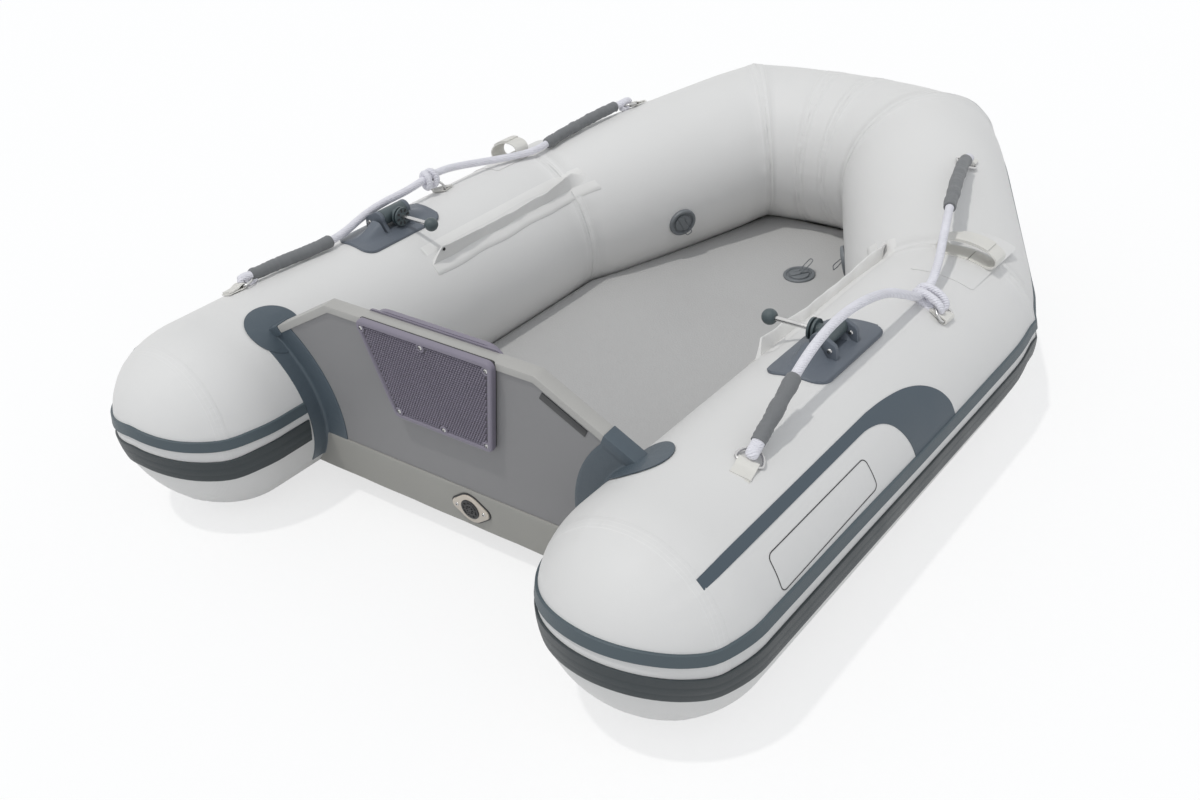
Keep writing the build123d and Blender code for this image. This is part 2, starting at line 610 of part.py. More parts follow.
def grab_ring(centre, direction, run):
    """A ring round the rope, and the glued patch with the keeper that holds the ring."""
    ring = Plane(origin=centre, z_dir=direction) * Torus(RING_MAJOR, RING_WIRE_R)
    foot = tube_axis_foot(run, centre)
    outward = (centre - foot).normalized()
    patch = tube_run(run, SKIN_GAP + FABRIC_T) - tube_run(run, SKIN_GAP)
    patch = patch & extrude(Plane(origin=foot, z_dir=outward) * Circle(PATCH_R), amount=TUBE_R * 2)
    low = centre - outward * RING_MAJOR
    across = direction.cross(outward)
    barrel = Plane(origin=low - across * KEEPER_W / 2, z_dir=across)
    keeper = extrude(barrel * Circle(RING_WIRE_R + 2), amount=KEEPER_W)
    fin_start = foot + outward * (TUBE_R + SKIN_GAP + 0.1)
    fin = Plane(origin=fin_start, x_dir=direction, z_dir=outward) * Rectangle(6, KEEPER_W)
    keeper = keeper + extrude(fin, amount=(low - fin_start).length)
    ring_way = Plane(origin=centre, z_dir=direction) * Torus(RING_MAJOR, RING_WIRE_R + SKIN_GAP)
    rope_way = extrude(Plane(origin=centre - direction * 30, z_dir=direction)
                       * Circle(ROPE_R + SKIN_GAP), amount=60)
    return ring, biggest(((patch + keeper) - ring_way) - rope_way)


def ring_places(spots):
    """Centre and direction of the three rings: near both ends and in the middle run."""
    start, end = spots[1] - spots[0], spots[-1] - spots[-2]
    middle = spots[MIDDLE_RING_RUN], spots[MIDDLE_RING_RUN + 1]
    return [(spots[0] + start.normalized() * RING_INSET, start.normalized(), 0),
            ((middle[0] + middle[1]) / 2, (middle[1] - middle[0]).normalized(), 0),
            (spots[-1] - end.normalized() * RING_INSET, end.normalized(), 1)]


def grab_line(side, route, turn_over):
    spots, radii, line = route_line(route)
    rope = hose(line, ROPE_R)
    print(side, "grab line", round(line.length, 1), "mm, volume over section x length",
          round(rope.volume / (pi * ROPE_R ** 2 * line.length), 5))
    print(side, "radii", [round(r) for r in radii])
    print(side, "height over the tube", [round(height_over_tube(p)) for p in spots])
    export(turn_over(rope), side + "_grab_line")
    aft_run, forward_run = SLEEVE_RUNS[side]
    sleeves = [sleeve_line(spots, radii, aft_run),
               sleeve_line(spots[::-1], radii[::-1], forward_run)]
    sleeves = [turn_over(hose(part, SLEEVE_R, ROPE_R + SKIN_GAP)) for part in sleeves]
    export(Compound(children=sleeves), side + "_grab_sleeves")
    rings, patches = [], []
    for centre, direction, run in ring_places(spots):
        ring, patch = grab_ring(centre, direction, run)
        rings.append(turn_over(ring))
        patches.append(turn_over(patch))
    export(Compound(children=rings), side + "_grab_rings")
    export(Compound(children=patches), side + "_grab_patches")


grab_line("port", PORT_ROUTE, lambda piece: piece)
grab_line("starboard", STARBOARD_ROUTE, mirrored)


# ---------------------------------------------------------------- towing ring at the bow
def towing_ring():
    """Ring and patch low on the front of the bow tube, on the centreline."""
    axis_spot = (AXIS[3] + AXIS[4]) / 2
    outward = Vector(cos(radians(TOW_DROP)), 0, -sin(radians(TOW_DROP)))
    patch = tube_run(3, SKIN_GAP + FABRIC_T) - tube_run(3, SKIN_GAP)
    patch = patch & extrude(Plane(origin=axis_spot, z_dir=outward) * Circle(TOW_PATCH_R),
                            amount=TUBE_R * 2)
    low = axis_spot + outward * (TUBE_R + SKIN_GAP + FABRIC_T + TOW_WIRE_R + 1)
    centre = low + outward * TOW_RING_R
    ring = Plane(origin=centre, z_dir=(0, 1, 0)) * Torus(TOW_RING_R, TOW_WIRE_R)
    up = Vector(sin(radians(TOW_DROP)), 0, cos(radians(TOW_DROP)))
    barrel = Plane(origin=low - up * TOW_KEEPER_W / 2, z_dir=up)
    keeper = extrude(barrel * Circle(TOW_WIRE_R + 4), amount=TOW_KEEPER_W)
    keeper = keeper - tube_run(3, SKIN_GAP)
    ring_way = Plane(origin=centre, z_dir=(0, 1, 0)) * Torus(TOW_RING_R, TOW_WIRE_R + SKIN_GAP)
    return ring, (patch + keeper) - ring_way


ring, patch = towing_ring()
export(ring, "towing_ring")
export(patch, "towing_ring_patch")
print("origin shift", round(SHIFT, 3))
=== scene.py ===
from math import acos, asin, atan2, cos, exp, pi, radians, sin, sqrt, tan

import bmesh
import bpy
from mathutils import Matrix, Vector, noise


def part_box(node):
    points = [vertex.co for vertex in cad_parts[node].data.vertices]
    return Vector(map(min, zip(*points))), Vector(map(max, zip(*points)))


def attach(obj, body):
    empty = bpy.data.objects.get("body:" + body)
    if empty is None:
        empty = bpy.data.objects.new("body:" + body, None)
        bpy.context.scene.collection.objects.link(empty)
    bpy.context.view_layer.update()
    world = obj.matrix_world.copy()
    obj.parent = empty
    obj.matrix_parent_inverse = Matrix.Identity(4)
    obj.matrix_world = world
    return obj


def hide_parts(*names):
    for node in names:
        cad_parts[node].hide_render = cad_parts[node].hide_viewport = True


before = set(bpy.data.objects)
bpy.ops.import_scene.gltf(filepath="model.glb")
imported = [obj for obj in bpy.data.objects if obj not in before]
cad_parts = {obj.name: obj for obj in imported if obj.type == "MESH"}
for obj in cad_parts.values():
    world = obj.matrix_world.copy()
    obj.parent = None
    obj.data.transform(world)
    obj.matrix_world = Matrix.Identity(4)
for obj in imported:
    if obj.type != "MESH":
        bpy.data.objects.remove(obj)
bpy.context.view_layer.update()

scene = bpy.context.scene


# ============================================================ camera, light and ground
# A person's eye above the starboard quarter of the boat, looking forward and down into it.
# High, slightly veiled daylight from just behind the stern, on a plain pale ground.
EYE = Vector((-1.936, -1.356, 1.406))
HEADING, DIP, TILT = 0.6758, 0.5452, -0.0671        # radians
ahead = Vector((cos(HEADING) * cos(DIP), sin(HEADING) * cos(DIP), -sin(DIP)))
level = ahead.cross(Vector((0, 0, 1))).normalized()
above = level.cross(ahead)
to_right = level * cos(TILT) + above * sin(TILT)
to_top = above * cos(TILT) - level * sin(TILT)
lens = bpy.data.cameras.new("camera")
lens.lens, lens.sensor_width = 38.99, 36.0
lens.clip_start, lens.clip_end = 0.05, 60.0
camera = bpy.data.objects.new("camera", lens)
camera_place = Matrix((to_right, to_top, -ahead)).transposed().to_4x4()
camera_place.translation = EYE
camera.matrix_world = camera_place
scene.collection.objects.link(camera)
scene.camera = camera
scene.view_settings.view_transform = "Standard"

TO_SUN = Vector((-0.314, 0.105, 0.943))
sun = bpy.data.lights.new("sun", "SUN")
sun.energy, sun.angle, sun.color = 1.1, radians(2.5), (1.0, 0.985, 0.955)
sun_object = bpy.data.objects.new("sun", sun)
sun_object.rotation_euler = TO_SUN.to_track_quat("Z", "Y").to_euler()
scene.collection.objects.link(sun_object)

SKY_LEVEL = 0.645
SKY_LEAN = (-0.20, -0.12, 0.05)      # brighter over the stern and to starboard
sky = bpy.data.worlds.new("sky")
sky.use_nodes = True
scene.world = sky
sky_nodes, sky_links = sky.node_tree.nodes, sky.node_tree.links
sky_light = sky_nodes["Background"]
sky_light.inputs["Color"].default_value = (0.93, 0.96, 1.0, 1)
sky_place = sky_nodes.new("ShaderNodeTexCoord")
sky_lean = sky_nodes.new("ShaderNodeVectorMath")
sky_lean.operation = "DOT_PRODUCT"
sky_lean.inputs[1].default_value = SKY_LEAN
sky_gain = sky_nodes.new("ShaderNodeMath")
sky_gain.inputs[1].default_value = SKY_LEVEL
sky_links.new(sky_place.outputs["Generated"], sky_lean.inputs[0])
sky_links.new(sky_lean.outputs["Value"], sky_gain.inputs[0])
sky_links.new(sky_gain.outputs[0], sky_light.inputs["Strength"])


def lit_and_shown(tree, lit, shown, output):
    """Give the output one shader for the light that reaches the boat, and another for
    rays that show the background: straight, mirrored, or through glass."""
    ray, mix = tree.nodes.new("ShaderNodeLightPath"), tree.nodes.new("ShaderNodeMixShader")
    seen = ray.outputs["Is Camera Ray"]
    for kind in ("Is Glossy Ray", "Is Transmission Ray"):
        either = tree.nodes.new("ShaderNodeMath")
        either.operation = "MAXIMUM"
        tree.links.new(seen, either.inputs[0])
        tree.links.new(ray.outputs[kind], either.inputs[1])
        seen = either.outputs[0]
    tree.links.new(seen, mix.inputs["Fac"])
    tree.links.new(lit.outputs[0], mix.inputs[1])
    tree.links.new(shown.outputs[0], mix.inputs[2])
    tree.links.new(mix.outputs[0], tree.nodes[output].inputs["Surface"])


sky_shown = sky_nodes.new("ShaderNodeBackground")
sky_shown.inputs["Color"].default_value = (1, 1, 1, 1)
lit_and_shown(sky.node_tree, sky_light, sky_shown, "World Output")

GROUND_HALF, GROUND_PALENESS = 14, 0.7
ground_shape = bmesh.new()
bmesh.ops.create_grid(ground_shape, x_segments=1, y_segments=1, size=GROUND_HALF)
ground_mesh = bpy.data.meshes.new("ground")
ground_shape.to_mesh(ground_mesh)
ground_shape.free()
ground = bpy.data.objects.new("ground", ground_mesh)
scene.collection.objects.link(ground)
ground_paint = bpy.data.materials.new("pale_ground")
ground_paint.use_nodes = True
ground_nodes, ground_links = ground_paint.node_tree.nodes, ground_paint.node_tree.links
ground_nodes.remove(ground_nodes["Principled BSDF"])
ground_matt = ground_nodes.new("ShaderNodeBsdfDiffuse")      # what lights the boat from below
ground_matt.inputs["Color"].default_value = (0.72, 0.72, 0.72, 1)
ground_white = ground_nodes.new("ShaderNodeBsdfDiffuse")     # what takes the boat's shadow
ground_white.inputs["Color"].default_value = (1, 1, 1, 1)
ground_lift = ground_nodes.new("ShaderNodeEmission")
ground_shown = ground_nodes.new("ShaderNodeMixShader")
ground_shown.inputs["Fac"].default_value = GROUND_PALENESS
ground_links.new(ground_white.outputs[0], ground_shown.inputs[1])
ground_links.new(ground_lift.outputs[0], ground_shown.inputs[2])
lit_and_shown(ground_paint.node_tree, ground_matt, ground_shown, "Material Output")
ground_mesh.materials.append(ground_paint)


# ============================================================ grab lines
# Soft white 16 mm braided line, one each side, held at three rings and stiff enough
# to stand up between them. The starboard line arches higher than the port one.
ROPE_R = 0.008
LINE_ROUTES = {
    "port": [
        (-0.598, 0.558, 0.368), (-0.514, 0.546, 0.370), (-0.430, 0.529, 0.372),
        (-0.368, 0.526, 0.376), (-0.308, 0.537, 0.385), (-0.240, 0.545, 0.390),
        (-0.160, 0.546, 0.389), (-0.095, 0.548, 0.396), (-0.045, 0.552, 0.394),
        (0.007, 0.551, 0.386), (0.072, 0.536, 0.376), (0.138, 0.504, 0.372),
        (0.190, 0.482, 0.373), (0.250, 0.472, 0.386), (0.320, 0.456, 0.398),
        (0.390, 0.441, 0.408), (0.464, 0.428, 0.412)],
    "starboard": [
        (-0.598, -0.558, 0.368), (-0.512, -0.552, 0.406), (-0.420, -0.545, 0.439),
        (-0.330, -0.544, 0.455), (-0.235, -0.544, 0.446), (-0.150, -0.546, 0.424),
        (-0.092, -0.549, 0.394), (-0.043, -0.552, 0.368), (0.007, -0.552, 0.368),
        (0.050, -0.545, 0.393), (0.100, -0.530, 0.423), (0.150, -0.514, 0.437),
        (0.208, -0.495, 0.444), (0.290, -0.469, 0.443), (0.370, -0.443, 0.436),
        (0.430, -0.424, 0.428), (0.480, -0.414, 0.417)]}


def new_paint(name, **sockets):
    """A new material with the plain sockets of its shader set."""
    material = bpy.data.materials.new(name)
    material.use_nodes = True
    shader = material.node_tree.nodes["Principled BSDF"]
    for socket, value in sockets.items():
        shader.inputs[socket.replace("_", " ")].default_value = value
    return material, material.node_tree, shader


def calculate(tree, operation, first, second=None, clamp=False):
    """A Math node; its operands are numbers or sockets."""
    node = tree.nodes.new("ShaderNodeMath")
    node.operation, node.use_clamp = operation, clamp
    for slot, value in enumerate((first, second)):
        if value is None:
            continue
        if isinstance(value, (int, float)):
            node.inputs[slot].default_value = value
        else:
            tree.links.new(value, node.inputs[slot])
    return node.outputs[0]


def noise_field(tree, vector, scale, detail=2.0, roughness=0.5):
    """Soft noise from 0 to 1 over a place."""
    node = tree.nodes.new("ShaderNodeTexNoise")
    node.inputs["Scale"].default_value = scale
    node.inputs["Detail"].default_value = detail
    node.inputs["Roughness"].default_value = roughness
    tree.links.new(vector, node.inputs["Vector"])
    return node.outputs["Fac"]


def new_group(name, inputs, outputs):
    """An empty node group with named sockets, and its two end nodes."""
    group = bpy.data.node_groups.new(name, "ShaderNodeTree")
    for label, kind, value in inputs:
        socket = group.interface.new_socket(label, in_out="INPUT", socket_type=kind)
        if value is not None:
            socket.default_value = value
    for label, kind in outputs:
        group.interface.new_socket(label, in_out="OUTPUT", socket_type=kind)
    return group, group.nodes.new("NodeGroupInput"), group.nodes.new("NodeGroupOutput")


def placed_group(tree, group, **values):
    """A group placed in a material; values are numbers, colours or sockets."""
    node = tree.nodes.new("ShaderNodeGroup")
    node.node_tree = group
    for label, value in values.items():
        socket = node.inputs[label.replace("_", " ")]
        if isinstance(value, (int, float)):
            socket.default_value = value
        elif isinstance(value, tuple):
            socket.default_value = (*value, 1)
        else:
            tree.links.new(value, socket)
    return node


# mottle: slow changes of shade and gloss, and a fine grain, that most finishes share
mottle, mottle_in, mottle_out = new_group(
    "mottle",
    [("Place", "NodeSocketVector", None), ("Colour", "NodeSocketColor", (0.5, 0.5, 0.5, 1)),
     ("Strength", "NodeSocketFloat", 0.05), ("Size", "NodeSocketFloat", 6.0),
     ("Grain", "NodeSocketFloat", 600.0), ("Roughness", "NodeSocketFloat", 0.5)],
    [("Colour", "NodeSocketColor"), ("Roughness", "NodeSocketFloat"),
     ("Height", "NodeSocketFloat")])
mottle_slow = mottle.nodes.new("ShaderNodeTexNoise")
mottle_slow.inputs["Detail"].default_value = 5
mottle.links.new(mottle_in.outputs["Place"], mottle_slow.inputs["Vector"])
mottle.links.new(mottle_in.outputs["Size"], mottle_slow.inputs["Scale"])
mottle_fine = mottle.nodes.new("ShaderNodeTexNoise")
mottle_fine.inputs["Detail"].default_value = 1
mottle.links.new(mottle_in.outputs["Place"], mottle_fine.inputs["Vector"])
mottle.links.new(mottle_in.outputs["Grain"], mottle_fine.inputs["Scale"])
mottle_shift = calculate(mottle, "SUBTRACT", mottle_slow.outputs["Fac"], 0.5)
mottle_gain = calculate(mottle, "ADD", calculate(
    mottle, "MULTIPLY", mottle_shift,
    calculate(mottle, "MULTIPLY", mottle_in.outputs["Strength"], 4)), 1)
mottle_tint = mottle.nodes.new("ShaderNodeVectorMath")
mottle_tint.operation = "SCALE"
mottle.links.new(mottle_in.outputs["Colour"], mottle_tint.inputs[0])
mottle.links.new(mottle_gain, mottle_tint.inputs["Scale"])
mottle.links.new(mottle_tint.outputs[0], mottle_out.inputs["Colour"])
mottle.links.new(calculate(mottle, "ADD", mottle_in.outputs["Roughness"], calculate(
    mottle, "MULTIPLY", mottle_shift, 0.35), clamp=True), mottle_out.inputs["Roughness"])
mottle.links.new(mottle_fine.outputs["Fac"], mottle_out.inputs["Height"])


def finish(name, colour, strength, size, grain, roughness, depth, relief=None, **sockets):
    """A material with mottle on its colour and gloss, and its grain as a bump. relief
    makes a second height for the bump from the material's tree and a place on the boat."""
    material, tree, shader = new_paint(name, **sockets)
    place = tree.nodes.new("ShaderNodeTexCoord").outputs["Object"]
    node = placed_group(tree, mottle, Place=place, Colour=colour, Strength=strength,
                        Size=size, Grain=grain, Roughness=roughness)
    tree.links.new(node.outputs["Colour"], shader.inputs["Base Color"])
    tree.links.new(node.outputs["Roughness"], shader.inputs["Roughness"])
    height = node.outputs["Height"]
    if relief:
        height = calculate(tree, "ADD", calculate(tree, "MULTIPLY", height, 0.3),
                           relief(tree, place))
    bump = tree.nodes.new("ShaderNodeBump")
    bump.inputs["Strength"].default_value = 1.0
    bump.inputs["Distance"].default_value = depth
    tree.links.new(height, bump.inputs["Height"])
    tree.links.new(bump.outputs["Normal"], shader.inputs["Normal"])
    return material


def bands(tree, place, direction, scale, distortion=0.0, detail=2.0):
    """Fine ridges, as of a braid or a weave."""
    node = tree.nodes.new("ShaderNodeTexWave")
    node.wave_type, node.bands_direction = "BANDS", direction
    node.inputs["Scale"].default_value = scale
    node.inputs["Distortion"].default_value = distortion
    node.inputs["Detail"].default_value = detail
    tree.links.new(place, node.inputs["Vector"])
    return node.outputs["Fac"]


# The braid is white; its faint lilac tint is a painted shade, the bluish cast the line takes in
# shade.
white_braid_shade_tint = finish("white_braid_shade_tint", (0.80, 0.79, 0.845), 0.06, 30, 900, 0.88, 0.0009,
                     lambda tree, place: bands(tree, place, "DIAGONAL", 95, 3.0, 1.5),
                     Sheen_Weight=0.35)


def show(name, data, body, slot, *replaced):
    """Put a finished mesh or curve into the scene as a piece that rides on a body."""
    piece = bpy.data.objects.new(name, data)
    scene.collection.objects.link(piece)
    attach(piece, body)
    if replaced:
        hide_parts(*replaced)
    return piece


def line_curve(name, points, radius):
    """A line's spline, as thick as its radius."""
    curve = bpy.data.curves.new(name, "CURVE")
    curve.dimensions = "3D"
    spline = curve.splines.new("NURBS")
    spline.points.add(len(points) - 1)
    for knot, point in zip(spline.points, points):
        knot.co = (*point, 1)
    spline.order_u = 3
    spline.use_endpoint_u = True
    curve.resolution_u = 12
    curve.bevel_depth, curve.bevel_resolution = radius, 5
    curve.use_fill_caps = True
    return curve


for side, route in LINE_ROUTES.items():
    curve = line_curve(side + "_line", route, ROPE_R)
    curve.materials.append(white_braid_shade_tint)
    show(side + "_line", curve, "hull", "rope", side + "_grab_line")


# ============================================================ air tubes
# Welded chambers of coated fabric, 360 mm across: two straight sides with rounded
# tails, two forward tubes, two bow gores and a short front piece, taped at each seam.
TUBE_R = 0.180
AXIS_Z = 0.180             # the side tubes' axes over the ground
TAIL_LENGTH, TAIL_NOSE_R, TAIL_LIFT = 0.190, 0.150, 0.027
SEAM_X = -0.750
HALF = 0.498
TAPE_HALF, TAPE_T = 0.019, 0.0007
AXIS = [Vector(p) for p in (
    (SEAM_X, HALF, AXIS_Z), (0.211, HALF, AXIS_Z), (0.715, 0.212, 0.275),
    (0.760, 0.055, 0.264), (0.760, 0.0, 0.264))]
RUNS = [(b - a).normalized() for a, b in zip(AXIS, AXIS[1:])]
LENGTHS = [(b - a).length for a, b in zip(AXIS, AXIS[1:])]
JOINTS = [RUNS[0]] + [(a + b).normalized() for a, b in zip(RUNS, RUNS[1:])] + [RUNS[-1]]
OUTWARD = [Vector((0, 1, 0))]
for normal in JOINTS[1:-1]:
    OUTWARD.append(OUTWARD[-1] - normal * (2 * OUTWARD[-1].dot(normal)))
BENDS = [None] + [(a - b).normalized() for a, b in zip(RUNS, RUNS[1:])]
PINCH = (0.0, 0.0140, 0.009, 0.005, 0.0)     # how far each bend is drawn in at its seam
PINCH_REACH = (0.0, 0.070, 0.062, 0.055, 0.0)


def pinch(run, along, spoke):
    """The skin is drawn in at a bend, most on its outer side, and bulges between bends."""
    drawn = 0.0
    for joint, distance in ((run, along), (run + 1, LENGTHS[run] - along)):
        if 0 < joint < len(BENDS):
            lean = spoke.dot(BENDS[joint])
            depth = PINCH[joint] * (lean if lean > 0 else -0.35 * lean)
            drawn += depth * exp(-(distance / PINCH_REACH[joint]) ** 2)
    return drawn


def tube_point(run, along, angle, reach):
    """A point at this reach from a run's axis; angle 0 is outboard and 90 degrees is up.
    The sections turn evenly from the seam at one end to the seam at the other."""
    outward = OUTWARD[run]
    upward = RUNS[run].cross(outward)
    if upward.z < 0:
        upward = -upward
    spoke = outward * cos(angle) + upward * sin(angle)
    share = along / LENGTHS[run]
    reach -= pinch(run, along, spoke)
    start = -reach * spoke.dot(JOINTS[run]) / RUNS[run].dot(JOINTS[run])
    end = -reach * spoke.dot(JOINTS[run + 1]) / RUNS[run].dot(JOINTS[run + 1])
    return AXIS[run] + spoke * reach + RUNS[run] * (along + start * (1 - share) + end * share)


def tail_reach(back, stand=0.0):
    """Radius of the tail at a distance behind its seam."""
    radius, nose, length = TUBE_R + stand, TAIL_NOSE_R + stand, TAIL_LENGTH + stand
    back = min(back, length)
    big = (length ** 2 - 2 * length * nose + radius ** 2) / (2 * (radius - nose))
    if back < big * sin(atan2(length - nose, big - radius)):
        return radius - big + sqrt(big ** 2 - back ** 2)
    return sqrt(max(nose ** 2 - (back - length + nose) ** 2, 0))


def lifted(point):
    """The tails' tips sit a little high, so that the boat slides off its stern."""
    back = max(SEAM_X - point.x, 0) / TAIL_LENGTH
    return point + Vector((0, 0, TAIL_LIFT * back ** 1.6))


def wrapped(rows, columns, place, chart=None):
    """A grid of faces laid over a surface; place gives each corner's position, and
    chart its coordinates on the cloth."""
    shape = bmesh.new()
    bmesh.ops.create_grid(shape, x_segments=rows, y_segments=columns, size=0.5)
    cells = {v: (round((v.co.x + 0.5) * rows), round((v.co.y + 0.5) * columns))
             for v in shape.verts}
    if chart:
        layer = shape.loops.layers.uv.new("chart")
        for face in shape.faces:
            for corner in face.loops:
                corner[layer].uv = chart(*cells[corner.vert])
    for vert, (row, column) in cells.items():
        vert.co = place(row, column)
    bmesh.ops.remove_doubles(shape, verts=shape.verts, dist=1e-6)
    return shape


def reflected(shape):
    """Add the mirror image across the boat's centre plane."""
    bmesh.ops.mirror(shape, geom=shape.verts[:] + shape.edges[:] + shape.faces[:],
                     merge_dist=1e-5, axis="Y")
    bmesh.ops.recalc_face_normals(shape, faces=shape.faces)


def joined_middle(shape):
    """Weld two halves along the boat's centre plane."""
    middle = [v for v in shape.verts if abs(v.co.y) < 1e-5]
    bmesh.ops.remove_doubles(shape, verts=middle, dist=1e-5)
    bmesh.ops.recalc_face_normals(shape, faces=shape.faces)


def to_starboard(shape):
    """Turn a port shape into the starboard one."""
    bmesh.ops.scale(shape, vec=(1, -1, 1), verts=shape.verts)
    bmesh.ops.recalc_face_normals(shape, faces=shape.faces)


def add(name, shape, materials, sharp, slot, *replaced, body="hull"):
    """Make a bmesh a smooth piece of the boat; edges past the angle sharp stay crisp."""
    mesh = bpy.data.meshes.new(name)
    if shape.calc_volume(signed=True) < 0:
        bmesh.ops.reverse_faces(shape, faces=shape.faces)
    shape.to_mesh(mesh)
    shape.free()
    mesh.polygons.foreach_set("use_smooth", [True] * len(mesh.polygons))
    mesh.set_sharp_from_angle(angle=radians(sharp))
    for material in materials if isinstance(materials, tuple) else (materials,):
        mesh.materials.append(material)
    return show(name, mesh, body, slot, *replaced)


def merged(shape, other):
    """Add one bmesh to another."""
    mesh = bpy.data.meshes.new("joined")
    other.to_mesh(mesh)
    other.free()
    shape.from_mesh(mesh)
    bpy.data.meshes.remove(mesh)


def closed_ends(shape):
    """Fill a shape's open rims and turn its faces outwards."""
    bmesh.ops.holes_fill(shape, edges=[e for e in shape.edges if e.is_boundary], sides=0)
    bmesh.ops.recalc_face_normals(shape, faces=shape.faces)
    return shape


def seam_rings(length):
    """Distances along a run at which the skin has a ring, with the tape's thickness."""
    edge = [(0.0, TAPE_T), (0.006, TAPE_T), (0.0075, TAPE_T * 0.35), (0.009, TAPE_T),
            (TAPE_HALF - 0.0012, TAPE_T), (TAPE_HALF, 0.0)]
    count = max(int((length - 2 * TAPE_HALF) / 0.024), 2)
    middle = [(TAPE_HALF + (length - 2 * TAPE_HALF) * k / count, 0.0) for k in range(1, count)]
    return edge + middle + [(length - d, t) for d, t in edge[::-1]]


AROUND = 144
TAIL_SEAMS = {"port": 0.108, "starboard": 0.088}
TAIL_SEAM_LEAN = 0.012     # lower down the seams lean aft
TAIL_TAPE, TAIL_TAPE_T = 0.0085, 0.0005
seam_steps = [0.0012 * k for k in range(10)] + [0.0135 + 0.002 * k for k in range(9)]
seam_steps = [-d for d in seam_steps[:0:-1]] + seam_steps
tail_backs = [TAIL_LENGTH * sin(step / 34 * pi / 2) for step in range(34, 0, -1)]


def rings_of(seam):
    """Every ring of the skin from the tail's tip to the bow: run, place along it, stand."""
    rings = [("tail", back, 0.0) for back in tail_backs if back > seam + 0.032]
    rings += [("tail", seam - d, TAIL_TAPE_T if abs(d) < TAIL_TAPE else 0.0) for d in seam_steps]
    rings += [("tail", back, 0.0) for back in tail_backs if 0.006 < back < seam - 0.032]
    for run, length in enumerate(LENGTHS):
        spots = seam_rings(length)
        if run == 0:
            spots = [(0.0, 0.0), (0.02, 0.0)] + [(along, t) for along, t in spots if along > 0.04]
        if run == 3:
            spots = [(along, t) for along, t in spots if along < length - 0.022]
            spots.append((length, 0.0))
        rings += [(run, along, stand) for along, stand in spots]
    return rings


def seam_distance(run, along, seam):
    """How far a ring is from the nearest seam."""
    if run == "tail":
        return abs(along - seam)
    if run == 0:
        return min(along + seam, LENGTHS[0] - along)
    return along if run == 3 else min(along, LENGTHS[run] - along)


def tail_place(back, angle, stand, seam=TAIL_SEAMS["starboard"]):
    """A point on the tail; rings near its seam lean aft at the bottom."""
    near_tip = (back / TAIL_LENGTH) ** 8
    back -= TAIL_SEAM_LEAN * exp(-((back - seam) / 0.05) ** 2) * (1 - near_tip) * sin(angle)
    reach = tail_reach(back) + stand
    return lifted(Vector((SEAM_X - back, HALF + reach * cos(angle), AXIS_Z + reach * sin(angle))))


def skin_shape(seam):
    """One half of the tubes' skin, its tail seam at this distance behind the side's end."""
    rings = rings_of(seam)

    def place(row, column):
        run, along, stand = rings[row]
        angle = 2 * pi * column / AROUND
        near = seam_distance(run, along, seam)
        spot = Vector((sin(angle) * 6, cos(angle) * 6, 9 if run == "tail" else run))
        stand += 0.0013 * exp(-(near / 0.035) ** 2) * noise.noise(spot)
        if run != "tail":
            return tube_point(run, along, angle, TUBE_R + stand)
        under = exp(-(((angle - 1.5 * pi) / radians(35)) ** 2))
        stand += 0.0011 * under * cos(2 * pi * near / 0.011) * exp(-(near / 0.022) ** 2)
        return tail_place(along, angle, 0 if along > TAIL_LENGTH - 0.004 else stand, seam)

    def chart(row, column):
        run, along, _ = rings[row]
        near = seam_distance(run, along, seam) * (TAPE_HALF / TAIL_TAPE if run == "tail" else 1)
        return near, 2 * pi * column / AROUND * TUBE_R

    shape = wrapped(len(rings) - 1, AROUND, place, chart)
    open_tip = [e for e in shape.edges if e.is_boundary and max(v.co.x for v in e.verts) < SEAM_X]
    if open_tip:
        bmesh.ops.holes_fill(shape, edges=open_tip, sides=0)
    return shape


def line_at(tree, distance, middle, half_width):
    """A soft-edged line where a distance is near a given value."""
    off = calculate(tree, "ABSOLUTE", calculate(tree, "SUBTRACT", distance, middle))
    share = calculate(tree, "DIVIDE", off, half_width)
    return calculate(tree, "SUBTRACT", 1.0, share, clamp=True)


def seam_near(tree):
    """The distance to the nearest seam, from the cloth's chart."""
    chart = tree.nodes.new("ShaderNodeSeparateXYZ")
    tree.links.new(tree.nodes.new("ShaderNodeTexCoord").outputs["UV"], chart.inputs[0])
    return chart.outputs["X"]


def seam_creases(tree, _):
    """Fine creases that run across each seam."""
    stretched = tree.nodes.new("ShaderNodeMapping")
    stretched.inputs["Scale"].default_value = (14, 130, 1)
    tree.links.new(tree.nodes.new("ShaderNodeTexCoord").outputs["UV"], stretched.inputs["Vector"])
    creases = noise_field(tree, stretched.outputs[0], 1.0, 3, 0.6)
    away = calculate(tree, "DIVIDE", seam_near(tree), 0.045)
    return calculate(tree, "MULTIPLY", creases, calculate(tree, "SUBTRACT", 1.0, away, clamp=True))


coated_fabric = finish("coated_fabric", (0.72, 0.714, 0.702), 0.022, 3.2, 1500, 0.45, 0.0012,
                       seam_creases, Coat_Weight=0.04, Coat_Roughness=0.35,
                       Specular_IOR_Level=0.25)
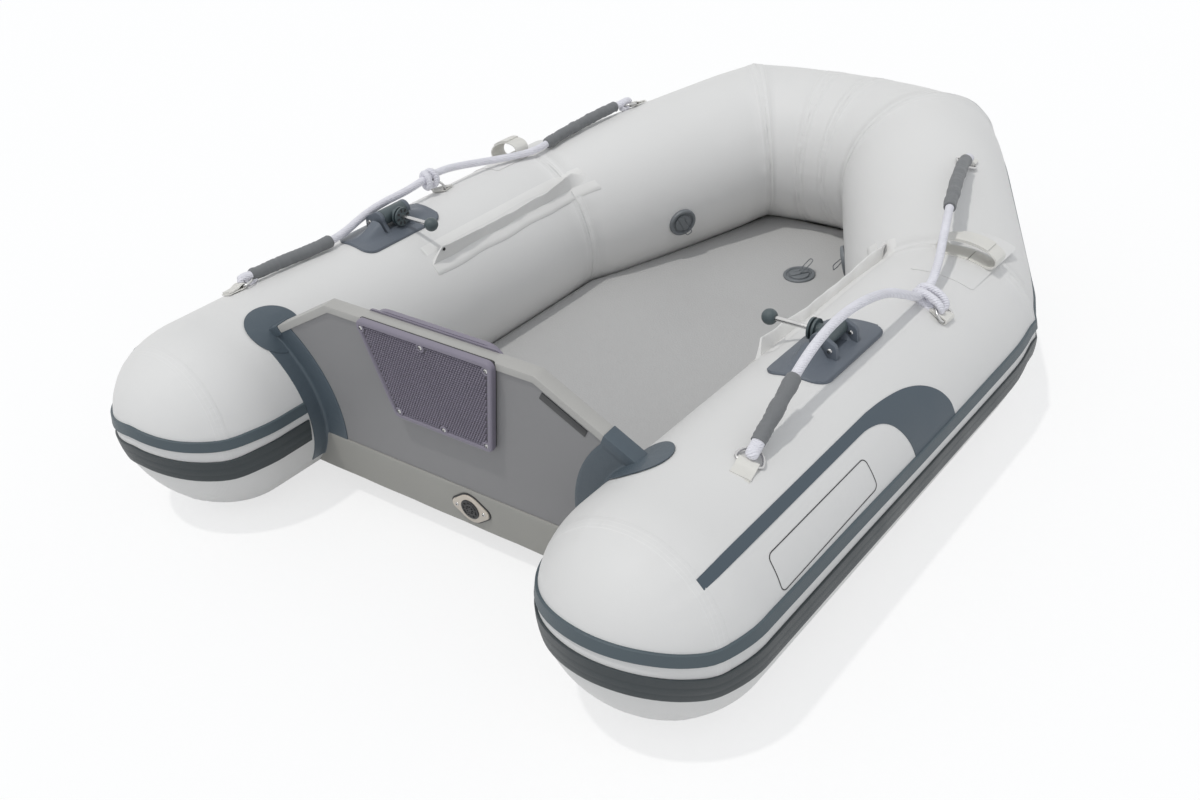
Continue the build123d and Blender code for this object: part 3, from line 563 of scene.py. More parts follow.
# the tapes' edges are a little paler: partly dust, partly a painted highlight where the edges catch
# the light
skin_tree = coated_fabric.node_tree
skin_colour = skin_tree.nodes["Principled BSDF"].inputs["Base Color"]
skin_place = skin_tree.nodes.new("ShaderNodeTexCoord").outputs["Object"]
tape_edges = calculate(skin_tree, "MAXIMUM",
                       line_at(skin_tree, seam_near(skin_tree), TAPE_HALF, 0.0016),
                       line_at(skin_tree, seam_near(skin_tree), 0.0075, 0.0014))
tape_dust_and_highlight = calculate(skin_tree, "MULTIPLY", tape_edges, noise_field(skin_tree, skin_place, 28, 3))
paler = skin_tree.nodes.new("ShaderNodeMix")
paler.data_type = "RGBA"
skin_tree.links.new(calculate(skin_tree, "MULTIPLY", tape_dust_and_highlight, 0.5), paler.inputs[0])
skin_tree.links.new(skin_colour.links[0].from_socket, paler.inputs[6])
paler.inputs[7].default_value = (0.85, 0.84, 0.825, 1)
skin_tree.links.new(paler.outputs[2], skin_colour)

skin = skin_shape(TAIL_SEAMS["port"])
far_side = skin_shape(TAIL_SEAMS["starboard"])
to_starboard(far_side)
merged(skin, far_side)
joined_middle(skin)
add("air_tubes", skin, coated_fabric, 80, "tube_fabric", "bow_tube",
    *[side + part for side in ("port_", "starboard_")
      for part in ("tail", "side_tube", "forward_tube", "bow_gore")])


# ============================================================ rubbing strakes
# Two bands of slate rubber glued round the whole hull, a narrow one above a broad one.
# They rise over the tails, sink on the forward tubes and stop at the transom.
STRAKE_T, STRAKE_END = 0.004, -0.6930
UPPER_HALF, LOWER_HALF = 0.0102, 0.0227
# heights of the two bands' middles: round the tails by direction, then along the sides
TAIL_LEVELS = {
    "starboard": [
        (0, 0.218, 0.165), (20, 0.2156, 0.161), (33, 0.2132, 0.1573), (44, 0.218, 0.1637),
        (64, 0.2297, 0.1768), (80, 0.2365, 0.1855), (94, 0.2392, 0.1893), (106, 0.2372, 0.1883),
        (120, 0.231, 0.183), (150, 0.216, 0.170), (180, 0.209, 0.161)],
    "port": [
        (0, 0.218, 0.165), (33, 0.2132, 0.1573), (50, 0.214, 0.160), (68, 0.221, 0.170),
        (90, 0.2325, 0.181), (99, 0.229, 0.1765), (114, 0.2194, 0.1665), (127, 0.2128, 0.1587),
        (145, 0.207, 0.1525), (162, 0.209, 0.1587), (180, 0.209, 0.1617)]}
SIDE_LEVELS = [(0.0, 0.218, 0.165), (0.10, 0.2172, 0.1648), (0.25, 0.2160, 0.164),
               (0.45, 0.2125, 0.1612), (0.75, 0.2115, 0.1590), (0.961, 0.2125, 0.160)]

slate_rubber, dark_slate_rubber = [
    finish(name, shade, 0.05, 9, 1100, 0.46, 0.0004, Specular_IOR_Level=0.34)
    for name, shade in (("slate_rubber", (0.078, 0.102, 0.116)),
                        ("dark_slate_rubber", (0.045, 0.054, 0.058)))]


def eased(table, place, column):
    """A value read from a table of places, on a smooth line through its rows."""
    if place <= table[0][0]:
        return table[0][column]
    for k in range(len(table) - 1):
        a, b = table[k][0], table[k + 1][0]
        if place <= b:
            t = (place - a) / (b - a)
            before, after = table[max(k - 1, 0)], table[min(k + 2, len(table) - 1)]
            low, high = table[k][column], table[k + 1][column]
            rise_in = (high - before[column]) / (b - before[0]) * (b - a)
            rise_out = (after[column] - low) / (after[0] - a) * (b - a)
            return ((low * (1 + 2 * t) + rise_in * t) * (1 - t) ** 2
                    + (high * (3 - 2 * t) + rise_out * (t - 1)) * t ** 2)
    return table[-1][column]


def strake_section(half, ribs):
    """The band's closed outline as (offset up the band, stand off the tube)."""
    outline = [(-half, 0.0001), (-half, STRAKE_T * 0.7), (-half + 0.0012, STRAKE_T)]
    for k in range(ribs):
        middle = -half + 2 * half * (k + 1) / (ribs + 1)
        outline += [(middle - 0.0016, STRAKE_T), (middle, STRAKE_T - 0.0004),
                    (middle + 0.0016, STRAKE_T)]
    return outline + [(half - 0.0012, STRAKE_T), (half, STRAKE_T * 0.7), (half, 0.0001),
                      (-half, 0.0001)]


def last_inside(inside, near, far, tries=30):
    """The farthest value that is still inside, found by halving."""
    for _ in range(tries):
        middle = (near + far) / 2
        near, far = (middle, far) if inside(middle) else (near, middle)
    return near


def round_tail(turn, level, stand):
    """A point on the tail at a height over the ground, in the direction turn: 0 is
    outboard, 90 degrees aft and 180 degrees inboard."""
    def inside(reach):
        x, y = reach * sin(turn), reach * cos(turn)
        height = level - AXIS_Z - lifted(Vector((SEAM_X - x, 0, 0))).z
        return x < TAIL_LENGTH + stand and height ** 2 + y ** 2 < tail_reach(x, stand) ** 2

    reach = last_inside(inside, 0.0, 0.25, 40)
    return Vector((SEAM_X - reach * sin(turn), HALF + reach * cos(turn), level))


# the bands' path: from the board round the tail's inner side, then along each run
strake_path = [("inside", STRAKE_END - SEAM_X), ("inside", 0.0)]
strake_path += [("tail", pi * (1 - k / 48)) for k in range(1, 48)]
for run, (length, count) in enumerate(zip(LENGTHS, (30, 30, 6, 6))):
    strake_path += [(run, length * k / count) for k in range(0 if run == 0 else 1, count + 1)]


def strake(name, column, half, ribs, paint):
    """One band; column says which of the two heights in the tables is its own."""
    outline = strake_section(half, ribs)
    both = bmesh.new()
    for side, turns in TAIL_LEVELS.items():
        shift = turns[0][column] - SIDE_LEVELS[0][column]

        def place(row, corner):
            stretch, along = strake_path[row]
            offset, stand = outline[corner]
            if stretch == "tail":
                level = eased(turns, along * 180 / pi, column) + offset
                return round_tail(along, level, stand)
            if stretch == "inside":
                height = turns[-1][column] - AXIS_Z + offset
                angle = pi - asin(height / (TUBE_R + stand))
                return tube_point(0, along, angle, TUBE_R + stand)
            if stretch == 0:
                height = eased(SIDE_LEVELS, along, column) - AXIS_Z
                height += shift * max(1 - along / 0.2, 0)
            else:
                height = SIDE_LEVELS[-1][column] - AXIS_Z
                if stretch == 1:
                    fall = min(along / 0.15, 1)
                    height -= 0.030 * fall * fall * (3 - 2 * fall)
                    height += 0.010 * max(along - 0.15, 0) / 0.44
                else:
                    height -= 0.020
            angle = asin((height + offset) / (TUBE_R + stand))
            return tube_point(stretch, along, angle, TUBE_R + stand)

        band = wrapped(len(strake_path) - 1, len(outline) - 1, place)
        cut = [e for e in band.edges if e.is_boundary and
               max(abs(v.co.x - STRAKE_END) for v in e.verts) < 0.005]
        bmesh.ops.holes_fill(band, edges=cut, sides=0)
        if side == "starboard":
            to_starboard(band)
        merged(both, band)
    joined_middle(both)
    add(name, both, paint, 35, "slate_rubber", "port_" + name, "starboard_" + name)


strake("upper_strake", 1, UPPER_HALF, 0, slate_rubber)
strake("lower_strake", 2, LOWER_HALF, 2, dark_slate_rubber)


# ============================================================ side flashes
# A printed slate flash on the outer side of each side tube: a straight stripe that
# ends in a hump, and a plain outlined panel under it, left blank.
FLASH_STAND = 0.0009
STRIPE_LOW, STRIPE_HIGH = 0.1396, 0.1588
STRAKE_TOP_GIRTH = 0.0405
STRIPE_AFT = -0.834


def side_place(x, girth, stand):
    """A point on the side tube's skin, girth measured up from its widest line."""
    angle = girth / TUBE_R
    if x >= SEAM_X:
        return tube_point(0, x - SEAM_X, angle, TUBE_R + stand)
    return tail_place(SEAM_X - x, angle, stand)


def flat_outline(corners):
    """A flat face in local XY."""
    shape = bmesh.new()
    shape.faces.new([shape.verts.new((x, y, 0)) for x, y in corners])
    return shape


def sliced(shape, axis, step):
    """Cut a flat shape into strips, so that it can follow a curved skin."""
    values = [v.co[axis] for v in shape.verts]
    level = min(values) + step
    normal = Vector((axis == 0, axis == 1, 0))
    while level < max(values):
        everything = shape.verts[:] + shape.edges[:] + shape.faces[:]
        bmesh.ops.bisect_plane(shape, geom=everything, plane_co=normal * level, plane_no=normal)
        level += step


def raised_side(shape, depth):
    """Give a flat shape a thickness, with closed edges."""
    bmesh.ops.recalc_face_normals(shape, faces=shape.faces)
    if shape.faces[0].normal.z < 0:
        bmesh.ops.reverse_faces(shape, faces=shape.faces)
    grown = bmesh.ops.extrude_face_region(shape, geom=shape.faces[:])["geom"]
    bottom = [e for e in grown if isinstance(e, bmesh.types.BMVert)]
    bmesh.ops.translate(shape, verts=bottom, vec=(0, 0, depth))


def round_corners(shape, corners, radius, segments):
    """Round a flat outline at some of its corners."""
    bmesh.ops.bevel(shape, geom=corners, offset=radius, segments=segments, profile=0.5,
                    affect="VERTICES", material=-1)


def round_edges(shape, edges, radius, segments):
    """Round some edges of a solid shape."""
    bmesh.ops.bevel(shape, geom=edges, offset=radius, segments=segments, profile=0.5,
                    affect="EDGES", material=-1)


slate_print = finish("slate_print", (0.072, 0.095, 0.116), 0.035, 6, 1300, 0.42, 0.0002,
                     Specular_IOR_Level=0.28)


def arc_points(points, steps=6):
    """A smooth line through the given points."""
    found = []
    for k in range(len(points) - 1):
        before = Vector(points[max(k - 1, 0)])
        first, second = Vector(points[k]), Vector(points[k + 1])
        after = Vector(points[min(k + 2, len(points) - 1)])
        for n in range(steps):
            t = n / steps
            found.append(0.5 * (2 * first + (second - before) * t
                                + (2 * before - 5 * first + 4 * second - after) * t ** 2
                                + (3 * first - before - 3 * second + after) * t ** 3))
    return found + [Vector(points[-1])]


inner_arch = arc_points([
    (-0.420, STRIPE_LOW), (-0.385, 0.1385), (-0.352, 0.130), (-0.331, 0.114), (-0.318, 0.090),
    (-0.311, 0.065), (-0.308, STRAKE_TOP_GIRTH)])
outer_hump = arc_points([
    (-0.164, STRAKE_TOP_GIRTH), (-0.167, 0.070), (-0.184, 0.101), (-0.214, 0.127),
    (-0.255, 0.1445), (-0.308, 0.1545), (-0.360, STRIPE_HIGH)])
flash = flat_outline([(STRIPE_AFT, STRIPE_LOW)] + [tuple(p) for p in inner_arch + outer_hump]
                     + [(STRIPE_AFT, STRIPE_HIGH)])
bmesh.ops.triangulate(flash, faces=flash.faces)
sliced(flash, 1, 0.007)
sliced(flash, 0, 0.030)
raised_side(flash, FLASH_STAND)
for vert in flash.verts:
    past = max(SEAM_X - vert.co.x, 0) / (SEAM_X - STRIPE_AFT)
    girth = vert.co.y + 0.0005 - 0.0062 * past ** 1.7      # the stripe sinks over the tail
    vert.co = side_place(vert.co.x, girth, 0.0001 + vert.co.z)
reflected(flash)
add("side_flashes", flash, slate_print, 30, "slate_rubber")

black_print = new_paint("black_print", Base_Color=(0.012, 0.012, 0.014, 1), Roughness=0.45)[0]
panel = flat_outline([(-0.7085, 0.0530), (-0.4285, 0.0570), (-0.4285, 0.1125), (-0.7070, 0.1135)])
round_corners(panel, panel.verts, 0.011, 6)
bmesh.ops.inset_individual(panel, faces=panel.faces[:], thickness=0.0016)
inner = max(panel.faces, key=lambda f: f.calc_area())
bmesh.ops.delete(panel, geom=[inner], context="FACES_ONLY")
sliced(panel, 1, 0.007)
sliced(panel, 0, 0.030)
raised_side(panel, 0.0003)
for vert in panel.verts:
    vert.co = side_place(vert.co.x, vert.co.y, 0.0002 + vert.co.z)
reflected(panel)
add("side_panel_outline", panel, black_print, 30, "dark_plastic")


# ============================================================ air floor and hull bottom
# A drop-stitch air mattress lies on the hull fabric, with soft round edges pressed
# against the tubes. The hull fabric is one sheet welded to the tubes' undersides.
FLOOR_TOP, FLOOR_UNDER, FLOOR_BEND, FLOOR_EDGE = 0.090, 0.0536, 0.250, 0.008
BOTTOM_Z, BOTTOM_T = 0.050, 0.003
FLOOR_RISE, BOTTOM_RISE = tan(radians(3.0)), tan(radians(5.0))     # ahead of the bend


def axis_distance(point):
    """Distance from a point to the nearest air tube's axis."""
    point = Vector((point.x, abs(point.y), point.z))
    nearest = 9.0
    for start, run, length in zip(AXIS, RUNS, LENGTHS):
        along = min(max((point - start).dot(run), 0), length)
        nearest = min(nearest, (point - start - run * along).length)
    return nearest


def half_width(x, z, clear):
    """Half the free width between the tubes at a place in the boat."""
    def free(y):
        return axis_distance(Vector((x, y, z))) > TUBE_R + clear

    return last_inside(free, 0.0, HALF) if free(0.0) else 0.0


def floor_levels(x):
    """Heights of the floor's two faces."""
    ahead_of = max(x - FLOOR_BEND, 0)
    return FLOOR_UNDER + ahead_of * BOTTOM_RISE, FLOOR_TOP + ahead_of * FLOOR_RISE


def bottom_levels(x):
    """Heights of the hull bottom's two faces."""
    low = BOTTOM_Z + max(x - FLOOR_BEND, 0) * BOTTOM_RISE
    return low, low + BOTTOM_T


def layered_sheet(x_start, x_end, levels, edge, clear, rows, columns=40):
    """A closed soft sheet between the tubes: its outline follows them and its rim is round."""
    while half_width(x_end, sum(levels(x_end)) / 2, clear) < 0.02:
        x_end -= 0.0005

    def place(row, column):
        x = x_start + (x_end - x_start) * row / rows
        low, high = levels(x)
        round_end = min(edge, (high - low) / 2)
        fade = min((x - x_start) / round_end, (x_end - x) / round_end, 1.0)
        dip = round_end * (1 - sqrt(max(1 - (1 - fade) ** 2, 0)))
        low, high = low + dip, high - dip
        turn = 2 * pi * (column % columns) / columns
        across, up = cos(turn), sin(turn)
        across = (1 if across > 0 else -1) * abs(across) ** 0.35
        side = half_width(x, (low + high) / 2, clear)
        flat = max(side - round_end, 0)
        y = across * flat + cos(turn) * min(round_end, side)
        z = (low + high) / 2 + (high - low) / 2 * (1 if up > 0 else -1) * abs(up) ** 0.25
        return Vector((x, y, z))

    return closed_ends(wrapped(rows, columns, place))


def stitch_cells(tree, place):
    """The faint cells of the threads that hold the floor flat."""
    cells = tree.nodes.new("ShaderNodeTexVoronoi")
    cells.inputs["Scale"].default_value = 240
    tree.links.new(place, cells.inputs["Vector"])
    return cells.outputs["Distance"]


floor_fabric = finish("floor_fabric", (0.455, 0.452, 0.448), 0.03, 2.6, 1400, 0.60, 0.0004,
                      stitch_cells, Specular_IOR_Level=0.3)
bottom_fabric = finish("bottom_fabric", (0.375, 0.372, 0.350), 0.05, 4, 1200, 0.5, 0.0004,
                       Specular_IOR_Level=0.4)
low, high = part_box("air_floor")
air_floor = layered_sheet(low.x, high.x, floor_levels, FLOOR_EDGE, 0.0070, 110)
add("air_floor_skin", air_floor, floor_fabric, 60, "floor_fabric", "air_floor")
low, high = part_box("hull_bottom")
bottom = layered_sheet(low.x, high.x, bottom_levels, 0.0014, 0.0008, 90)
add("hull_bottom_skin", bottom, bottom_fabric, 60, "bottom_fabric", "hull_bottom")


# ============================================================ transom
# A raked plywood board sheathed in grey, with a pale plastic channel over its three
# top edges, a strip of hull fabric glued up over its foot, and a plain name strip.
RAKE = radians(5.5)
BOARD_T, PEAK, SHOULDER, SHOULDER_DROP = 0.022, 0.227, 0.401, 0.0985
BOARD_X, BOARD_TOP = -0.682, 0.433
board_up, board_aft = Vector((-sin(RAKE), 0, cos(RAKE))), Vector((-cos(RAKE), 0, -sin(RAKE)))
board_side = board_up.cross(board_aft)
BOARD = Matrix((board_side, board_up, board_aft)).transposed().to_4x4()
BOARD.translation = Vector((BOARD_X, 0, BOARD_TOP))
FALL = atan2(SHOULDER_DROP, SHOULDER - PEAK)

board_grey = finish("transom_grey", (0.262, 0.259, 0.262), 0.035, 5, 900, 0.48, 0.0003,
                    Specular_IOR_Level=0.22)
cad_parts["transom_board"].material_slots[0].material = board_grey
trim_plastic = finish("trim_plastic", (0.405, 0.398, 0.380), 0.04, 10, 900, 0.40, 0.0002,
                      Specular_IOR_Level=0.35)


def top_edge(distance, share):
    """A point on the board's three top edges moved outwards; share runs -2..2, with
    -1 and 1 at the two peaks and -2 and 2 at the shoulders."""
    corner = PEAK + distance * tan(FALL / 2)
    end = Vector((SHOULDER + distance * sin(FALL), -SHOULDER_DROP + distance * cos(FALL)))
    if abs(share) <= 1:
        return Vector((corner * share, distance))
    peak = Vector((corner, distance))
    point = peak + (end - peak) * (abs(share) - 1)
    return Vector((point.x * (1 if share > 0 else -1), point.y))


def channel(shares, stand, leg_aft, leg_fore, thick):
    """A U-section laid over the board's top edges: rows follow the edge."""
    aft, fore, top = stand, -BOARD_T - stand, stand
    r = 0.003      # of its outer corners
    outline = [
        (aft - thick, -leg_aft), (aft, -leg_aft), (aft, top - r), (aft - r * 0.3, top - r * 0.3),
        (aft - r, top), (fore + r, top), (fore + r * 0.3, top - r * 0.3), (fore, top - r),
        (fore, -leg_fore), (fore + thick, -leg_fore), (fore + thick, top - thick),
        (aft - thick, top - thick), (aft - thick, -leg_aft)]

    def place(row, column):
        across, height = outline[column]
        side, up = top_edge(height, shares[row])
        return BOARD @ Vector((side, up, across))

    return closed_ends(wrapped(len(shares) - 1, len(outline) - 1, place))


trim_shares = [-1.93, -1.5, -1.04, -1.0, -0.97, -0.5, 0, 0.5, 0.97, 1.0, 1.04, 1.5, 1.93]
top_trim = channel(trim_shares, 0.0026, 0.0110, 0.0100, 0.0022)
add("transom_trim", top_trim, trim_plastic, 40, "trim_plastic", "transom_top_trim")

# the strip of hull fabric over the board's foot, with a soft rolled top edge
BAND_DROP, FOOT_DROP, BAND_ROWS = 0.2994, 0.3815, 30
band_outline = [
    (0.0002, -FOOT_DROP), (0.0032, -FOOT_DROP), (0.0030, -BAND_DROP - 0.006),
    (0.0026, -BAND_DROP - 0.001), (0.0016, -BAND_DROP), (0.0002, -BAND_DROP),
    (0.0002, -FOOT_DROP)]


def band_place(row, column):
    """A corner of the strip, which spans the free width between the tubes."""
    aft, up = band_outline[column]
    share = row / BAND_ROWS * 2 - 1
    spot = BOARD @ Vector((0, up, aft))
    spot.y = -share * half_width(spot.x, spot.z, 0.0004)
    return spot + board_aft * (abs(0.0009 * sin(share * 9)) if column in (1, 2) else 0)


foot_band = closed_ends(wrapped(BAND_ROWS, len(band_outline) - 1, band_place))
band_fabric = finish("foot_fabric", (0.335, 0.329, 0.306), 0.05, 6, 1200, 0.5, 0.0004,
                     Specular_IOR_Level=0.28)
add("transom_foot_band", foot_band, band_fabric, 40, "bottom_fabric", "transom_bottom_band")


def soft_top(shape, height, edge, segments=3):
    """Raise a flat outline to a height and soften its upper edge."""
    raised_side(shape, height)
    bmesh.ops.recalc_face_normals(shape, faces=shape.faces)
    top = [e for e in shape.edges if all(abs(v.co.z - height) < 1e-7 for v in e.verts)]
    round_edges(shape, top, edge, segments)
    return shape


def rounded_plate(corners, radius, height, edge, cuts=5):
    """A flat plate with rounded corners and a soft upper edge, lying in local XY."""
    shape = flat_outline(corners)
    round_corners(shape, shape.verts, radius, cuts)
    return soft_top(shape, height, edge)


def box_corners(x, y):
    """The corners of a rectangle that is x and y to each side of the origin."""
    return [(-x, -y), (x, -y), (x, y), (-x, y)]


def moved(shape, matrix):
    """Put a shape in its place."""
    bmesh.ops.transform(shape, matrix=matrix, verts=shape.verts)
    bmesh.ops.recalc_face_normals(shape, faces=shape.faces)
    return shape


strip_black = finish("name_strip", (0.024, 0.025, 0.027), 0.06, 30, 1500, 0.38, 0.0001)
name_strip = rounded_plate(box_corners(0.046, 0.0075), 0.0015, 0.0012, 0.0004)
strip_middle = top_edge(-0.0243, 1.0) + Vector((cos(FALL), -sin(FALL))) * 0.0617
moved(name_strip, BOARD @ Matrix.Translation((*strip_middle, 0.0001))
      @ Matrix.Rotation(-FALL, 4, "Z"))
add("name_strip", name_strip, strip_black, 40, "dark_plastic", "transom_plate")


# ============================================================ transom gussets
# Slate fabric that ties the board to each tube: a strip folded into the corner on each
# face of the board, a round patch over the board's end and a cap over its top edge.
GUSSET_REACH = 0.064
PATCH_X, PATCH_Y, PATCH_R, PATCH_T = -0.660, 0.405, 0.055, 0.0016

gusset_slate = finish("gusset_fabric", (0.082, 0.106, 0.127), 0.05, 8, 1000, 0.44, 0.0012,
                      lambda tree, place: noise_field(tree, place, 34, 3),
                      Specular_IOR_Level=0.3)


def inner_skin(x, angle, stand):
    """A point on the inner half of the port side tube; angle 0 is inboard, 90 up."""
    if x > SEAM_X:
        return tube_point(0, x - SEAM_X, pi - angle, TUBE_R + stand)
    return tail_place(SEAM_X - x, pi - angle, stand)


def board_face_x(z, offset):
    """Where a face of the board stands at a height; offset is aft of its aft face."""
    return BOARD_X + (BOARD_TOP - z) * tan(RAKE) - offset / cos(RAKE)


# the strip's section: (away from the board's face, away from the tube's skin)
FOLD_R, FOLD_AT = 0.006, 0.0078
fold = [(0.0340, 0.0002), (0.0337, 0.0014), (0.0320, 0.0018)]
fold += [(FOLD_AT - FOLD_R * sin(radians(15 * k)), FOLD_AT - FOLD_R * cos(radians(15 * k)))
         for k in range(7)]
fold += [(0.0018, FOLD_AT + 0.0545 * k / 7) for k in range(1, 8)]
fold += [(0.0014, 0.0636), (0.0002, GUSSET_REACH), (0.0002, 0.0002), (0.0340, 0.0002)]
STRIP_FOOT, BAND_TOP, STRIP_TOP = 0.078, 0.136, radians(56.5)     # heights, and an angle


def folded_strip(offset, direction, reach):
    """The strip on one face of the board; its leg on the board is reach wide. Below the
    board's foot band only the leg on the tube goes on."""
    low, join_at = [asin((z - AXIS_Z) / TUBE_R) for z in (STRIP_FOOT, BAND_TOP)]
    angles = [low + (join_at - low) * k / 10 for k in range(10)] + [join_at - 0.002]
    angles += [join_at + (STRIP_TOP - join_at) * k / 44 for k in range(45)]

    def place(row, column):
        angle = angles[row]
        away, out = fold[column]
        if out > FOLD_AT:
            share = (reach - FOLD_AT) / (GUSSET_REACH - FOLD_AT) if row > 10 else 0
            out = FOLD_AT + (out - FOLD_AT) * share
        y, z = HALF - (TUBE_R + out) * cos(angle), AXIS_Z + (TUBE_R + out) * sin(angle)
        over_edge = (z - BOARD_TOP) / cos(RAKE) + SHOULDER_DROP + 0.010
        over_edge -= max(SHOULDER - y, 0) * tan(FALL)
        if out > 0.003:
            z -= max(over_edge, 0) * cos(RAKE)
        return Vector((board_face_x(z, offset) - direction * away, y, z))

    return closed_ends(wrapped(len(angles) - 1, len(fold) - 1, place))


def disc_outline(radius):
    """The corners of a fine round outline."""
    return [(radius * cos(radians(5 * k)), radius * sin(radians(5 * k))) for k in range(72)]


gussets = bmesh.new()
for side, reach in (("port", 0.053), ("starboard", 0.050)):
    disc = flat_outline(disc_outline(PATCH_R))
    sliced(disc, 1, 0.007)
    sliced(disc, 0, 0.009)
    raised_side(disc, PATCH_T)
    patch_angle = acos((HALF - PATCH_Y) / TUBE_R)
    for vert in disc.verts:
        angle = patch_angle + vert.co.y / TUBE_R
        edge = min(vert.co.xy.length / PATCH_R, 1)
        wave = noise.noise(Vector((vert.co.x * 60, vert.co.y * 60, 1)))
        rise = max(0.0016 * wave * edge * (1 - edge) * 4, 0)
        vert.co = inner_skin(PATCH_X + vert.co.x, angle, 0.0014 + vert.co.z + rise)
    merged(disc, folded_strip(0, 1, reach))
    merged(disc, folded_strip(-BOARD_T, -1, reach))
    bmesh.ops.recalc_face_normals(disc, faces=disc.faces)
    if side == "starboard":
        to_starboard(disc)
    merged(gussets, disc)
add("transom_gussets", gussets, gusset_slate, 40, "slate_rubber",
    "port_transom_gusset", "starboard_transom_gusset")
for side, low, high in (("starboard", 1.70, 2.02), ("port", -2.02, -1.86)):
    shares = [low + (high - low) * k / 6 for k in range(7)]
    add(side + "_edge_cap", channel(shares, 0.0044, 0.0140, 0.0130, 0.0018), gusset_slate, 40,
        "slate_rubber")


# ============================================================ motor pads
# Moulded violet-grey plastic pads screwed to both faces of the board over thin backing
# plates: a raised rim, a field of small pyramids and six cross-head screws in bosses.
PAD_T, FIELD_DROP, BACKING_T = 0.0110, 0.0034, 0.0036
STUD_PITCH, STUD_ROW_PITCH = 0.0054, 0.0046
BOSS_R, SCREW_SINK = 0.0085, 0.0022
pad_violet = finish("pad_plastic", (0.215, 0.196, 0.245), 0.04, 14, 1200, 0.42, 0.0002,
                    Specular_IOR_Level=0.45)
# a darker copy of the pad's plastic for the field's floor between the pyramids: a painted shade for
# its hollows
pad_field_painted_shade = finish("pad_field_painted_shade", (0.082, 0.075, 0.093), 0.04, 14, 1200, 0.5, 0.0002)
dark_plastic = finish("dark_plastic", (0.018, 0.018, 0.020), 0.06, 30, 1500, 0.45, 0.0001)
bright_steel = finish("bright_steel", (0.56, 0.56, 0.56), 0.05, 60, 2000, 0.24, 0.00005,
                      Metallic=1.0)


def revolved(profile, columns=32):
    """A turned shape from (radius, height) pairs that run from its rim to its middle."""
    def place(row, column):
        radius, height = profile[row]
        turn = 2 * pi * column / columns
        return Vector((radius * cos(turn), radius * sin(turn), height))

    return closed_ends(wrapped(len(profile) - 1, columns, place))


def screw_head(radius):
    """A domed screw head, and the cross in it as a shape of its own, drawn dark as a painted shade
    for the cross recess.
    """
    head = revolved([(radius * reach, radius * rise) for reach, rise in (
        (1, 0.0), (1, 0.18), (0.8, 0.42), (0.4, 0.5), (0.0, 0.52))], 20)
    cross = bmesh.new()
    for turn in (0, 90):
        bar = rounded_plate(box_corners(radius * 0.6, radius * 0.12), radius * 0.05,
                            radius * 0.57, radius * 0.03, 2)
        merged(cross, moved(bar, Matrix.Rotation(radians(turn + 20), 4, "Z")))
    return head, cross


def screws(name, places, radius):
    """Cross-head screws as two pieces: the heads, and the dark crosses in them, which are a painted
    shade for the recesses.
    """
    heads, crosses = bmesh.new(), bmesh.new()
    for matrix in places:
        for whole, part in zip((heads, crosses), screw_head(radius)):
            merged(whole, moved(part, matrix))
    add(name + "_screws", heads, bright_steel, 40, "steel")
    add(name + "_screw_cross_shades", crosses, dark_plastic, 30, "dark_plastic")


def crossings(outline, v):
    """Where a line across a flat outline at the height v meets its sides."""
    return [a.x + (b.x - a.x) * (v - a.y) / (b.y - a.y)
            for a, b in zip(outline, outline[1:] + outline[:1]) if (a.y - v) * (b.y - v) < 0]


def pad_studs(field, spots, level):
    """Rows of low pyramids over a field, clear of its sides and of the screws."""
    studs = bmesh.new()
    turned = Matrix.Diagonal((1.26, 0.76, 1, 1)) @ Matrix.Rotation(pi / 4, 4, "Z")
    low, high = min(p.y for p in field), max(p.y for p in field)
    v, start = low + 0.003, 0
    while v < high - 0.002:
        ends = crossings(field, v)
        u = (int(min(ends) / STUD_PITCH) + start) * STUD_PITCH
        while u < max(ends) - 0.0028:
            clear = all((Vector((u, v)) - Vector(s)).length > 0.0095 for s in spots)
            if u > min(ends) + 0.0028 and clear:
                bmesh.ops.create_cone(
                    studs, segments=4, radius1=0.0026, radius2=0.0015, depth=0.0024,
                    cap_ends=True, matrix=Matrix.Translation((u, v, level + 0.0010)) @ turned)
            u += STUD_PITCH
        v += STUD_ROW_PITCH
        start = 0.5 - start
    return studs


def motor_pad(name, node, matrix, corners, radii, spots, backing_paint):
    """A rimmed pad lying in local XY, its field studded, moved to its place."""
    shape = flat_outline(corners)
    for vert, radius in zip(list(shape.verts), radii):
        round_corners(shape, [vert], radius, 8)
    soft_top(shape, PAD_T, 0.0040, 4)
    top = max(shape.faces, key=lambda f: f.calc_area() * (f.normal.z > 0.9)
              * (f.calc_center_median().z > PAD_T / 2))
    bmesh.ops.inset_individual(shape, faces=[top], thickness=0.0040)
    bmesh.ops.inset_individual(shape, faces=[top], thickness=0.0016, depth=-FIELD_DROP)
    # the field's floor takes the darker copy, a painted shade for the hollows between the pyramids
    top.material_index = 1
    merged(shape, pad_studs([v.co.xy for v in top.verts], spots, PAD_T - FIELD_DROP))
    for u, v in spots:
        boss = revolved([
            (BOSS_R, 0.002), (BOSS_R, PAD_T - 0.0012), (0.0078, PAD_T - 0.0003),
            (0.0066, PAD_T), (0.0058, PAD_T - 0.0004), (0.0052, PAD_T - SCREW_SINK),
            (0.0, PAD_T - SCREW_SINK)], 28)
        merged(shape, moved(boss, Matrix.Translation((u, v, 0))))
    add(name, moved(shape, matrix), (pad_violet, pad_field_painted_shade), 35, "pad_plastic", node)
    centre = sum((Vector(c) for c in corners), Vector((0, 0))) / len(corners)
    backing = rounded_plate([Vector(c).lerp(centre, 0.012) for c in corners], min(radii),
                            BACKING_T, 0.0006)
    moved(backing, matrix @ Matrix.Translation((0, 0, -BACKING_T)))
    add(name + "_backing", backing, backing_paint, 35, "pad_plastic")
    screws(name, [matrix @ Matrix.Translation((u, v, PAD_T - SCREW_SINK)) for u, v in spots],
           0.0044)
